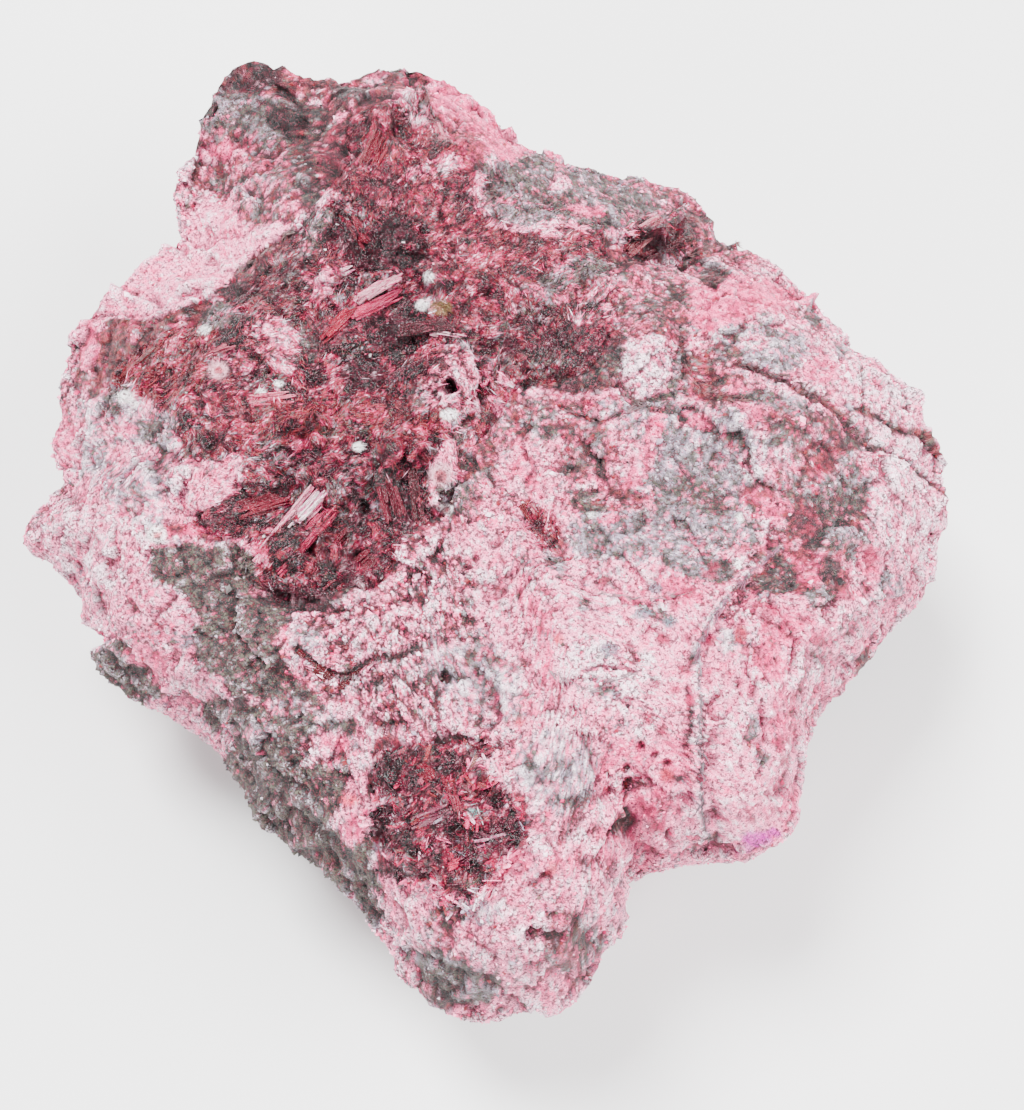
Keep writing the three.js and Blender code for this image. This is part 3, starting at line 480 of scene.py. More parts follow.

# Painted shade of cracks and steps, as lines of hair-fine dark needles: their colour, half-width in pixels,
# and their pixels
CRACK_SHADE_LINES = [
    ((96, 78, 88), 1.0, [(701, 664), (700, 710), (702, 775), (701, 801), (706, 826), (709, 842)]),
    ((112, 62, 84), 2.2, [*CLEFT_BEND, (697, 660)]),
    ((84, 34, 40), 2.0, [(622, 262), (672, 258), (715, 248), (744, 242)]),
    ((84, 34, 40), 2.0, [(683, 348), (690, 375), (704, 392), (745, 402)]),
    ((70, 30, 36), 1.6, [(740, 363), (785, 377), (820, 397), (847, 421), (868, 446)]),
    ((96, 54, 62), 1.2, [(504, 318), (497, 350), (490, 378)]),
    ((60, 30, 34), 1.6, [(622, 346), (618, 372), (628, 396), (650, 408), (682, 404)]),
    ((84, 60, 60), 2.0, [(232, 276), (262, 256), (290, 231)]),
    ((70, 30, 36), 1.4, GROOVE),
    ((120, 80, 92), 1.2, [(590, 590), (640, 602), (690, 594)]),
    ((120, 90, 100), 1.2, [(548, 668), (590, 690), (640, 672)]),
    ((90, 50, 60), 1.2, [(560, 408), (600, 420), (640, 408)]),
    ((90, 50, 60), 1.2, [(640, 300), (668, 322), (690, 340)]),
]

# Steps: how far the ground to the right of the line drops in mm, how many pixels it takes to rise again,
# and the line's pixels
STEPS = [
    (0.6, 40, FIELD_RIM[::-1]),
    (0.8, 34, [(540, 318), (508, 322), (497, 352), (488, 380)]),
    (0.4, 26, [(690, 340), (688, 375), (676, 396), (640, 402), (612, 388)]),
    (0.3, 40, [(713, 372), (760, 372), (806, 384), (850, 425)]),
    (0.8, 30, [(744, 240), (715, 248), (672, 258), (618, 262)]),
    (1.0, 36, [(480, 400), (482, 372), (470, 340), (420, 345), (395, 370)]),
    (0.5, 30, [(704, 846), (701, 775), (700, 710), (704, 640), (744, 579)]),
    (0.8, 36, [(300, 600), (330, 610), (390, 590), (420, 560)]),
    (0.8, 30, [(640, 790), (600, 800), (575, 830)]),
    (0.7, 30, [(560, 560), (520, 570), (505, 600)]),
]

# Pits: pixel x, pixel y, radius in pixels, depth in mm
PITS = [
    (452, 386, 8, 1.8), (445, 675, 6, 1.5), (97, 640, 8, 1.4), (622, 822, 12, 0.5), (627, 768, 6, 0.5),
    (478, 560, 5, 0.9), (500, 575, 4, 0.8), (462, 590, 4, 0.8), (408, 596, 4, 0.7), (436, 612, 4, 0.8),
    (352, 640, 4, 0.7), (392, 690, 4, 0.8), (420, 705, 4, 0.7), (485, 628, 4, 0.7), (771, 608, 6, 0.7),
    (600, 778, 5, 0.8), (655, 752, 5, 0.7), (612, 790, 6, 0.8), (300, 122, 8, 1.1), (345, 152, 6, 0.8),
    (363, 245, 12, 1.1), (404, 258, 12, 1.1), (407, 255, 7, 0.8), (378, 330, 16, 1.0), (448, 290, 9, 1.0),
    (487, 291, 6, 0.8), (384, 819, 11, 1.4), (500, 800, 10, 1.0), (208, 440, 10, 0.8),
    (416, 512, 9, 0.8), (362, 505, 9, 0.8), (462, 640, 4, 0.7), (372, 612, 4, 0.7), (330, 625, 4, 0.6),
    (640, 745, 6, 0.9), (668, 762, 5, 0.8), (590, 830, 5, 0.7), (575, 705, 5, 0.6), (602, 690, 7, 0.3),
    (505, 612, 4, 0.7), (448, 640, 4, 0.7), (425, 580, 4, 0.7), (495, 548, 4, 0.7), (470, 700, 5, 0.7),
]

# Sprays of crystals: pixel x, pixel y, bearing in degrees, reach in pixels
SPRAYS = [
    (375, 300, 40, 40), (330, 325, 60, 30), (395, 335, 5, 30), (290, 525, 48, 60), (320, 500, 50, 40),
    (330, 575, 110, 35), (372, 560, 80, 30), (250, 490, 8, 40), (215, 520, 0, 35), (165, 350, 25, 50),
    (120, 385, 60, 30), (225, 405, -8, 40), (370, 220, 100, 45), (390, 262, 175, 30), (455, 330, 160, 30),
    (420, 130, 95, 45), (385, 165, 80, 35), (560, 330, 100, 40), (500, 250, 10, 40), (400, 480, 85, 40),
    (300, 440, 10, 40), (350, 390, 175, 40), (650, 240, 25, 40), (548, 535, 118, 30), (322, 668, 145, 20),
    (372, 666, 30, 20), (250, 290, 40, 40), (505, 400, 85, 30), (600, 320, 60, 40), (150, 450, 95, 40),
]

# Streams of the rock's own grain: pixel x, pixel y, bearing in degrees, reach in pixels
STREAMS = [
    (110, 460, 85, 90), (190, 240, 40, 90), (560, 650, -42, 110), (640, 620, -35, 90), (680, 500, -15, 120),
    (590, 430, 60, 70), (760, 340, 15, 70), (720, 300, 30, 60), (850, 470, 75, 70), (740, 720, 80, 90),
    (520, 760, 65, 90), (470, 940, 25, 100), (250, 700, -50, 120), (545, 190, -10, 80), (620, 560, -20, 70),
]

# Large laths: colour, pixels of both ends, how far to the sides they spread in pixels, how many, and their
# width in mm
LATHS = [
    ((240, 170, 186), (354, 302), (404, 273), 6, 9, 0.5),
    ((190, 60, 100), (350, 318), (404, 292), 5, 7, 0.45),
    ((246, 206, 214), (318, 284), (356, 268), 5, 5, 0.4),
    ((150, 30, 58), (322, 340), (356, 308), 5, 6, 0.45),
    ((232, 158, 176), (262, 562), (324, 488), 9, 14, 0.5),
    ((166, 44, 80), (280, 570), (338, 508), 5, 7, 0.4),
    ((246, 220, 226), (292, 526), (326, 488), 4, 5, 0.4),
    ((96, 14, 36), (314, 572), (350, 530), 6, 7, 0.45), ((92, 20, 36), (330, 590), (372, 552), 8, 6, 0.5),
    ((110, 26, 44), (240, 512), (292, 498), 8, 7, 0.45), ((70, 26, 34), (232, 276), (290, 232), 3, 5, 0.45),
    ((112, 58, 62), (624, 258), (664, 222), 6, 8, 0.4), ((90, 48, 54), (636, 262), (690, 236), 5, 7, 0.4),
    ((196, 120, 130), (640, 232), (668, 214), 4, 4, 0.35),
    ((130, 44, 50), (526, 504), (560, 550), 6, 9, 0.5),
    ((206, 130, 140), (532, 506), (548, 528), 3, 4, 0.35),
    ((90, 30, 34), (300, 652), (334, 684), 4, 8, 0.4), ((90, 30, 34), (342, 684), (414, 650), 4, 9, 0.4),
    ((190, 100, 116), (198, 356), (238, 342), 6, 5, 0.3),
    ((120, 40, 46), (110, 396), (160, 352), 12, 8, 0.4),
    ((236, 190, 198), (428, 330), (470, 338), 4, 4, 0.35),
    ((60, 22, 30), (400, 332), (456, 324), 6, 6, 0.45),
    ((214, 120, 140), (250, 402), (300, 396), 5, 5, 0.35),
    ((110, 26, 44), (352, 220), (372, 252), 8, 6, 0.4), ((92, 24, 40), (386, 486), (397, 524), 8, 7, 0.4),
    ((70, 24, 32), (412, 468), (420, 532), 6, 6, 0.45), ((190, 50, 84), (430, 874), (460, 858), 6, 5, 0.8),
    ((206, 100, 124), (406, 791), (424, 777), 5, 4, 0.6),
    ((120, 20, 44), (418, 768), (434, 780), 4, 4, 0.6),
    ((230, 190, 206), (389, 812), (399, 832), 2, 3, 0.25),
    ((104, 66, 76), (478, 832), (512, 846), 6, 9, 0.3),
    ((222, 180, 194), (474, 846), (508, 836), 5, 3, 0.2),
    ((130, 40, 60), (448, 776), (462, 816), 6, 8, 0.3), ((150, 96, 110), (414, 824), (450, 808), 6, 7, 0.3),
    ((200, 110, 130), (432, 128), (446, 160), 8, 6, 0.35),
    ((130, 30, 50), (366, 168), (384, 132), 10, 7, 0.4),
]

# How many narrow laths each large one is split into
LATH_SPLITS = 2

# The pocket's plates: how many, and their lengths and widths in mm
PLATES = (600, (0.5, 1.8), (0.12, 0.45))

# Grains on the rock: how many, their middle size in mm, and how much it varies
GRAINS = (15500, 0.33, 0.35)

# Hairs on the rock: how many, their length and width in mm, and how far they stand up
HAIRS = (16000, 0.6, 0.06, 0.2)

# Crusts: needles to each square millimetre, their length and width in mm, and how far they stand up
CRUSTS = {
    "crystal_field": (15.5, 1.0, 0.08, 0.3),
    "crystal_pocket": (17.0, 0.8, 0.08, 0.5),
    "crystal_fan": (16.0, 1.3, 0.1, 0.3),
    "crystal_spray": (16.0, 1.3, 0.1, 0.3),
    "crystal_vein": (16.0, 0.9, 0.1, 0.3),
}

# Colours of the specks, dots and glints that the materials add, and of what is hidden under a crust
SPECK_COLOUR = (70, 22, 32)
DOT_COLOUR = (150, 58, 80)
GLEAM_COLOUR = (255, 240, 244)
HIDDEN_COLOUR = (60, 40, 44)

# How many dark specks and glints the crusts' own needles and plates have, and how fibrous they are
NEEDLE_FINISH = (0.1, 0.1, 1.0)

# Corners of one needle, grain and blade
NEEDLE_CORNERS = 4
GRAIN_CORNERS = 6
BLADE_CORNERS = 10

# Lights: name, place and size in metres, and power in watts
LIGHTS = [
    ("key_light", (-0.2, 0.25, 0.65), 0.25, 20),
    ("fill_light", (0.5, -0.1, 0.45), 0.5, 15),
    ("side_light", (-0.4, -0.6, 0.4), 0.4, 8),
]

# The place in metres that the lights point to, the sky's strength, and the floor's size in metres and shade
LIT_PLACE = (0, 0, 0.02)
SKY_STRENGTH = 0.5
FLOOR_SIZE = 6
FLOOR_SHADE = 0.72


def linear(colours):
    """Colours of 255 as linear light."""
    srgb = np.array(colours) / 255
    return np.where(srgb <= 0.04045, srgb / 12.92, ((srgb + 0.055) / 1.055) ** 2.4)


# Repeatable noise


def hashed(places, seed):
    """A number from 0 to 1 for each whole-numbered place, in an array of shape (..., 3)."""
    i, j, k = (places[..., axis].astype(np.int64).astype(np.uint32) for axis in range(3))
    h = i * np.uint32(374761393) + j * np.uint32(668265263) + k * np.uint32(2246822519)
    h += np.uint32((seed * 3266489917) % 2**32)
    h = (h ^ (h >> np.uint32(13))) * np.uint32(1274126177)
    h = (h ^ (h >> np.uint32(16))) * np.uint32(2654435769)
    return ((h ^ (h >> np.uint32(15))) & np.uint32(0xFFFFFF)) / float(0xFFFFFF)


def noise(points, size, seed=0):
    """Smooth noise from -1 to 1, one lump to each size."""
    scaled = points / size
    base = np.floor(scaled)
    part = scaled - base
    part = part * part * (3 - 2 * part)
    total = np.zeros(len(points))
    for corner in range(8):
        step = np.array([corner & 1, (corner >> 1) & 1, corner >> 2])
        weight = np.prod(np.where(step, part, 1 - part), axis=-1)
        total += weight * hashed(base + step, seed)
    return total * 2 - 1


def layered(points, size, layers, seed=0):
    """Noise in ever finer and fainter layers, from about -1 to 1."""
    total = np.zeros(len(points))
    for layer in range(layers):
        total += 0.5**layer * noise(points, size / 2**layer, seed + 11 * layer)
    return total / 1.6


def cells(points, size, seed=0):
    """The nearest of scattered seeds: its distance in sizes, the offset from it in mm, and its number."""
    scaled = points / size
    base = np.floor(scaled)
    near = np.full(len(points), 9.0)
    offset = np.zeros((len(points), 3))
    number = np.zeros(len(points))
    for i in (-1, 0, 1):
        for j in (-1, 0, 1):
            for k in (-1, 0, 1):
                cell = base + np.array([i, j, k])
                spot = cell + np.stack([hashed(cell, seed + n) for n in (1, 2, 3)], axis=-1)
                away = scaled - spot
                distance = np.linalg.norm(away, axis=-1)
                closer = distance < near
                near[closer] = distance[closer]
                offset[closer] = away[closer]
                number[closer] = hashed(cell[closer], seed + 4)
    return near, offset * size, number


def bundles(points, spots):
    """Patches of parallel fibres: the bearing at each point, and its strands, which are how far along and
    across its patch it is and the patch's number."""
    bent = points + 0.5 * np.stack([noise(points, 1.3, seed) for seed in (41, 42, 43)], axis=-1)
    _, offset, number = cells(bent, BUNDLE, 45)
    turn = flow(spots, points) + BUNDLE_SWING * (number - 0.5)
    along = offset[:, 0] * np.cos(turn) + offset[:, 1] * np.sin(turn)
    across = offset[:, 1] * np.cos(turn) - offset[:, 0] * np.sin(turn)
    return turn, np.stack([along, across, number], axis=-1)


def fibres(strands, width, seed):
    """Noise from about -1 to 1 that runs along the fibres, with streaks of a width."""
    place = strands * np.array([0.14, 1, 900])
    return 0.6 * noise(place, width, seed) + 0.4 * noise(place, 2.3 * width, seed + 1)


def blend_step(low, high, value):
    t = np.clip((value - low) / (high - low), 0, 1)
    return t * t * (3 - 2 * t)


def ranked(values):
    """Each value's rank among all, from 0 to 1."""
    order = np.empty(len(values))
    order[np.argsort(values)] = np.arange(len(values))
    return (order + 0.5) / len(values)


# Pixels of the photograph


def to_pixels(points):
    """Where points appear in the photograph."""
    away = points - EYE
    depth = -(away @ BACK_AXIS)
    across = FOCAL_PIXELS * away[:, 0] / depth
    up = FOCAL_PIXELS * (away @ UP_AXIS) / depth
    return np.stack([MIDDLE_PIXEL[0] + across, MIDDLE_PIXEL[1] - up], axis=-1)


def line_distance(spots, line):
    """How far each spot is from a line of pixels, and on which side: 1 is right of its way, -1 is left."""
    line = np.asarray(line, float)
    nearest = np.full(len(spots), 1e9)
    side = np.ones(len(spots))
    for a, b in zip(line[:-1], line[1:]):
        run = b - a
        t = np.clip(((spots - a) @ run) / (run @ run), 0, 1)
        off = spots - a - t[:, None] * run
        distance = np.linalg.norm(off, axis=-1)
        closer = distance < nearest
        nearest[closer] = distance[closer]
        side[closer] = np.sign(run[0] * off[closer, 1] - run[1] * off[closer, 0])
    return nearest, side


def depth_inside(spots, corners):
    """How many pixels each spot is inside a closed outline, less than 0 for the ones outside."""
    closed = np.array(corners + corners[:1], float)
    odd = np.zeros(len(spots), bool)
    for a, b in zip(closed[:-1], closed[1:]):
        if a[1] != b[1]:
            level = (a[1] > spots[:, 1]) != (b[1] > spots[:, 1])
            cut = a[0] + (spots[:, 1] - a[1]) / (b[1] - a[1]) * (b[0] - a[0])
            odd ^= level & (spots[:, 0] < cut)
    away = line_distance(spots, closed)[0]
    return np.where(odd, away, -away)


def wandering(spots, points, reach):
    """The spots moved about by noise, so that edges drawn with them are ragged."""
    wide = np.stack([noise(points, 4.0, 61), noise(points, 4.0, 62)], -1)
    fine = np.stack([noise(points, 1.4, 63), noise(points, 1.4, 64)], -1)
    return spots + reach * (wide + 0.6 * fine)


# Solids of the frame


def tree_of(corners, faces):
    return BVHTree.FromPolygons([Vector(corner) for corner in corners], faces)


def solid(node):
    """A node's corners in mm, its edges and its search tree."""
    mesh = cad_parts[node].data
    corners = np.empty(len(mesh.vertices) * 3)
    mesh.vertices.foreach_get("co", corners)
    corners = corners.reshape(-1, 3) / MM
    faces = [list(face.vertices) for face in mesh.polygons]
    edges = np.array([list(edge.vertices) for edge in mesh.edges])
    return corners, edges, tree_of(corners, faces)


def drop(tree, x, y, default=math.nan):
    """The height of the top under a place."""
    hit = tree.ray_cast(Vector((x, y, 200)), Vector((0, 0, -1)))[0]
    return hit.z if hit is not None else default


def silhouette(corners, edges, bearings):
    """How far out from the origin the solid reaches in each bearing, and the height there."""
    a = corners[edges[:, 0]]
    b = corners[edges[:, 1]]
    reach = np.zeros(len(bearings))
    height = np.zeros(len(bearings))
    for n, bearing in enumerate(bearings):
        way = np.array([math.cos(bearing), math.sin(bearing)])
        side = np.array([-way[1], way[0]])
        sa = a[:, :2] @ side
        sb = b[:, :2] @ side
        crossing = (sa <= 0) != (sb <= 0)
        t = sa[crossing] / (sa[crossing] - sb[crossing])
        at = a[crossing] + t[:, None] * (b[crossing] - a[crossing])
        out = at[:, :2] @ way
        best = np.argmax(out)
        reach[n] = out[best]
        height[n] = at[best, 2]
    return reach, height


# Meshes as arrays of points and triangles


def stitched(counts):
    """Triangles between rings of points that share a middle, each ring with its own count."""
    triangles = []
    start = 0
    for inner, outer in zip(counts[:-1], counts[1:]):
        after = start + inner
        i = o = 0
        while i < inner or o < outer:
            if i >= inner or (o < outer and (o + 1) * inner <= (i + 1) * outer):
                if outer > 1:
                    triangles.append((start + i % inner, after + o, after + (o + 1) % outer))
                o += 1
            else:
                if inner > 1:
                    triangles.append((start + i, after + o % outer, start + (i + 1) % inner))
                i += 1
        start = after
    return np.array(triangles)


def corner_normals(points, triangles):
    a, b, c = (points[triangles[:, n]] for n in range(3))
    face = np.cross(b - a, c - a)
    sums = [
        sum(np.bincount(triangles[:, n], face[:, axis], len(points)) for n in range(3)) for axis in range(3)
    ]
    total = np.stack(sums, axis=-1)
    return total / np.maximum(np.linalg.norm(total, axis=-1, keepdims=True), 1e-12)


def softened(values, triangles, rounds):
    """Rows of values for each point, moved half-way to the mean of their neighbours' rows in each round."""
    pairs = np.concatenate([triangles[:, [0, 1]], triangles[:, [1, 2]], triangles[:, [2, 0]]])
    count = np.maximum(np.bincount(pairs[:, 0], minlength=len(values)), 1).astype(float)[:, None]
    for _ in range(rounds):
        sums = [np.bincount(pairs[:, 0], column[pairs[:, 1]], len(values)) for column in values.T]
        values = 0.5 * (values + np.stack(sums, axis=-1) / count)
    return values


# Moods


def mood_rows():
    """Each mood as one row: share of greys, parts of reds, parts of greys, and its four amounts."""
    rows = []
    for greyness, reds, greys, specks, glints, fibrous, crumbly in MOODS.values():
        red_parts = np.array(reds) / sum(reds)
        grey_parts = np.array(greys) / sum(greys)
        rows.append(np.concatenate([[greyness], red_parts, grey_parts, [specks, glints, fibrous, crumbly]]))
    return np.array(rows)


def patch_cover(spots, drift, edge, name, x, y, across, down, turn):
    """How fully an oval patch with a ragged edge covers each spot, from 0 to 1."""
    angle = math.radians(turn)
    size = min(across, down)
    reach = min(10, 0.35 * size)
    ragged = min(0.35, 11 / size)
    soft = min(0.3, (4 if name in SHARP_MOODS else 8) / size)
    dx = spots[:, 0] + reach * drift[:, 0] - x
    dy = spots[:, 1] + reach * drift[:, 1] - y
    u = (dx * math.cos(angle) + dy * math.sin(angle)) / across
    v = (dy * math.cos(angle) - dx * math.sin(angle)) / down
    return 1 - blend_step(1 - soft, 1 + soft, np.hypot(u, v) + ragged * edge)


def moods_at(points, spots, top):
    """The mixture of moods at each point: outlines, patches and veins on top, patches of noise elsewhere."""
    rows = dict(zip(MOODS, mood_rows()))
    mix = np.tile(rows["pale"], (len(points), 1))

    def lay(name, amount):
        some = amount > 0
        share = amount[some][:, None]
        mix[some] = mix[some] * (1 - share) + rows[name] * share

    wide = layered(points, 13.0, 3, 81)
    fine = layered(points, 6.0, 3, 82)
    lay("sugar", blend_step(0.1, 0.3, fine) * 0.7)
    lay("cream", (1 - top) * blend_step(-0.1, 0.1, wide))
    lay("olive", (1 - top) * blend_step(0.02, 0.12, fine + 0.3 * wide))
    lay("grey", (1 - top) * blend_step(0.12, 0.24, wide - 0.3 * fine))
    lay("rosy", (1 - top) * blend_step(0.26, 0.36, -fine))
    lay("frosted", (1 - top) * blend_step(0.22, 0.34, -wide))
    drift = wandering(spots, points, 1) - spots
    edge = layered(points, 3.2, 5, 83)
    near_spots = spots + 5 * drift
    for name, corners in OUTLINES:
        soft = 3 if name in SHARP_MOODS else 7
        lay(name, top * blend_step(-soft, soft, depth_inside(near_spots, corners) + 7 * edge))
    for patch in PATCHES:
        lay(patch[0], top * patch_cover(spots, drift, edge, *patch))
    close = wandering(spots, points, 3)
    for name, half, line in VEINS:
        away = line_distance(close, line)[0] / half + 0.6 * edge
        lay(name, top * (1 - blend_step(0.7, 1.4, away)))
    return mix


def picked(parts, share, colours):
    """The colour at a share from 0 to 1 of each point's own mixture, the dark ones first."""
    palette = linear(colours)
    ends = np.cumsum(parts, axis=1)
    soft = 0.04
    colour = np.zeros((len(parts), 3))
    before = np.ones(len(parts))
    for n in range(len(palette)):
        after = blend_step(ends[:, n] - soft, ends[:, n] + soft, share) if n + 1 < len(palette) else 0
        colour += (before - after)[:, None] * palette[n]
        before = after
    return colour


def mixed(mix, share, family):
    """Colours from the reds and the greys of each point's mixture."""
    soft = 0.05
    grey = 1 - blend_step(mix[:, GREYNESS] - soft, mix[:, GREYNESS] + soft, family)
    reds = picked(mix[:, RED_PARTS], share, REDS)
    greys = picked(mix[:, GREY_PARTS], share, GREYS)
    return reds + (greys - reds) * grey[:, None]


def spotted(colours, points, strength):
    """Colours with the small spots laid over them."""
    close = wandering(to_pixels(points), points, 1.6)
    for colour, x, y, across, down in SPOTS:
        away = np.hypot((close[:, 0] - x) / across, (close[:, 1] - y) / down)
        amount = strength * (1 - blend_step(0.9, 1.35, away))[:, None]
        colours = colours + (linear(colour) - colours) * amount
    return colours


def painted(points, mix, strands, height, rng):
    """Each point's place in its mixture, and two colours that the material speckles together, with painted
    light and shade of the relief.
    """
    count = len(points)
    relief = np.clip(height / 0.2, -1.5, 1.5)
    number = strands[:, 2]
    wide_streaks = fibres(strands, 0.4, 97)
    fibrous = mix[:, FIBROUS]
    streaks = (0.25 + 0.75 * fibrous) * (0.5 * wide_streaks + 0.4 * fibres(strands, 0.2, 99))
    own_tone = fibrous * 0.7 * ((number * 37) % 1 - 0.5)
    scatter = (0.22 - 0.08 * fibrous) * rng.normal(size=count)
    broad = 0.26 * layered(points, 2.6, 2, 91) + 0.28 * noise(points, 0.6, 92) + scatter
    # Raised points take the lighter colours of their mixture and hollows the darker ones: painted highlight
    # and shade of the fine relief
    share = ranked(broad + streaks + own_tone + (0.5 - 0.25 * fibrous) * relief)
    family_scatter = 0.2 * rng.normal(size=count)
    patches = 0.34 * layered(points, 2.4, 2, 94) + 0.25 * noise(points, 0.6, 95) + family_scatter
    family = ranked(patches + 0.3 * wide_streaks + fibrous * 0.3 * ((number * 91) % 1 - 0.5))
    fleck_share = ranked(0.7 * share + 0.3 * noise(points, 1.1, 93) + 0.3 * rng.normal(size=count))
    fleck_family = ranked(0.7 * family + 0.3 * rng.normal(size=count))
    # Colours darkened in the hollows of the fine relief: painted shade
    shade = 1 - 0.6 * blend_step(0.03, 0.25, -height)[:, None]
    tint = mixed(mix, share, family) * shade
    fleck = mixed(mix, fleck_share, fleck_family) * shade
    return np.stack([share, family], -1), spotted(tint, points, 0.9), spotted(fleck, points, 0.75)


# Relief


def flow(spots, points):
    """The bearing of the fibres at each place: that of the nearest spray, else that of the streams."""
    swirl = 2.6 * noise(points, 7.0, 71)
    pull = np.stack([np.cos(swirl), np.sin(swirl)], -1) * 0.12
    for x, y, turn, reach in STREAMS:
        strength = np.exp(-(((spots[:, 0] - x) ** 2 + (spots[:, 1] - y) ** 2) / reach**2))
        double = 2 * math.radians(turn)
        pull += strength[:, None] * np.array([math.cos(double), math.sin(double)])
    bearing = 0.5 * np.arctan2(pull[:, 1], pull[:, 0]) + 0.5 * noise(points, 4.0, 72)
    best = np.full(len(spots), 1.0)
    for x, y, turn, reach in SPRAYS:
        away = np.hypot(spots[:, 0] - x, spots[:, 1] - y) / reach
        closer = away < best
        out = np.arctan2(y - spots[:, 1], spots[:, 0] - x)
        toward = math.radians(turn) + 0.35 * np.sin(out - math.radians(turn))
        bearing = np.where(closer, toward, bearing)
        best = np.where(closer, away, best)
    return bearing


def carved(points, spots, top):
    """How deep the named cracks, steps and pits are at each point."""
    ragged = wandering(spots, points, 3)
    depth = np.zeros(len(points))
    for half, deep, line in CRACKS:
        depth += deep * (1 - blend_step(0.2 * half, 1.7 * half, line_distance(ragged, line)[0]))
    for fall, reach, line in STEPS:
        away, side = line_distance(ragged, line)
        depth += fall * (1 - blend_step(0, reach, away)) * blend_step(-2, 2, away * side)
    for x, y, radius, deep in PITS:
        away = np.hypot(ragged[:, 0] - x, ragged[:, 1] - y)
        depth += deep * (1 - blend_step(0.3 * radius, 1.3 * radius, away))
    return top * depth


def worn(points, spots, mix, strands, top, broad):
    """How far each point moves out along its normal: lumps, faces, grains, fibres, and what is carved."""
    fibrous = mix[:, FIBROUS]
    crumbly = mix[:, CRUMBLY]
    out = broad * layered(points, 7.0, 3, 1)
    _, offset, number = cells(points, 4.2, 5)
    key = np.stack([number * 9999, number * 77, number], -1).round()
    slant = np.stack([hashed(key, seed) for seed in (1, 2, 3)], -1)
    out += broad * (0.7 * (number - 0.5) + 0.7 * np.sum(offset * (slant - 0.5), axis=-1))
    plain = 1 - 0.6 * fibrous
    near, _, number = cells(points, 1.6, 15)
    out += (0.3 + 0.8 * crumbly) * plain * (0.5 * (number - 0.5) + 0.6 * (0.5 - near))
    near = cells(points, 0.75, 25)[0]
    out += (0.2 + 0.45 * crumbly) * plain * (0.5 - near)
    out += 0.1 * noise(points, 0.5, 35)
    out += fibrous * (0.14 * fibres(strands, 0.35, 47) + 0.12 * ((strands[:, 2] * 53) % 1 - 0.5))
    return out - carved(points, spots, top)


# Pieces


def make_piece(name, points, triangles, smooth_count, colours, material):
    """A mesh object whose first triangles are smooth, with a colour attribute for each set of rows."""
    mesh = bpy.data.meshes.new(name)
    mesh.from_pydata((points * MM).tolist(), [], triangles.tolist())
    smooth = np.arange(len(triangles)) < smooth_count
    mesh.polygons.foreach_set("use_smooth", smooth)
    for layer_name, rows in colours.items():
        layer = mesh.color_attributes.new(layer_name, "FLOAT_COLOR", "POINT")
        full = np.concatenate([rows, np.ones((len(rows), 1))], axis=1)
        layer.data.foreach_set("color", full.astype(np.float32).ravel())
    mesh.materials.append(material)
    mesh.update()
    piece = bpy.data.objects.new(name, mesh)
    bpy.context.scene.collection.objects.link(piece)
    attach(piece, BODY)
    return piece


def finish_rows(mix):
    """How much of each point's surface is dark specks, how much glints, and how fibrous it is."""
    return np.stack([mix[:, SPECKS], mix[:, GLINTS], mix[:, FIBROUS]], axis=-1)


def ring_points(corners, edges, tree):
    """Rings of points on the solid, from the middle of its top over the rim to the middle of its foot."""
    counts = [1] + [POINTS_PER_RING * ring for ring in range(1, TOP_RINGS + 1)]
    rim_count = counts[-1]
    bearings = 2 * math.pi * np.arange(rim_count) / rim_count
    reach, height = silhouette(corners, edges, bearings)
    rings = []
    for ring, count in enumerate(counts):
        turn = 2 * math.pi * np.arange(count) / count
        out = np.interp(turn, bearings, reach, period=2 * math.pi) * ring / TOP_RINGS
        edge = np.interp(turn, bearings, height, period=2 * math.pi)
        xs = out * np.cos(turn)
        ys = out * np.sin(turn)
        zs = [drop(tree, x, y, e) if ring < TOP_RINGS else e for x, y, e in zip(xs, ys, edge)]
        rings.append(np.stack([xs, ys, zs], axis=-1))
    for ring in range(1, WALL_RINGS + 1):
        share = 1 - ring / (WALL_RINGS + 0.5)
        count = int(rim_count * (0.45 + 0.5 * share))
        turn = 2 * math.pi * np.arange(count) / count
        edge = np.interp(turn, bearings, height, period=2 * math.pi)
        points = []
        for bearing, top in zip(turn, edge):
            inward = Vector((-math.cos(bearing), -math.sin(bearing), 0))
            start = Vector((0, 0, max(top * share, 0.01))) - 150 * inward
            points.append(tuple(tree.ray_cast(start, inward)[0]))
        rings.append(np.array(points))
    foot = rings[-1]
    for ring in range(1, BASE_RINGS + 1):
        share = 1 - ring / BASE_RINGS
        count = max(1, int(len(foot) * share))
        inner = foot[(np.arange(count) * len(foot) / count).astype(int)] * share
        inner[:, 2] = 0
        rings.append(inner)
    return rings


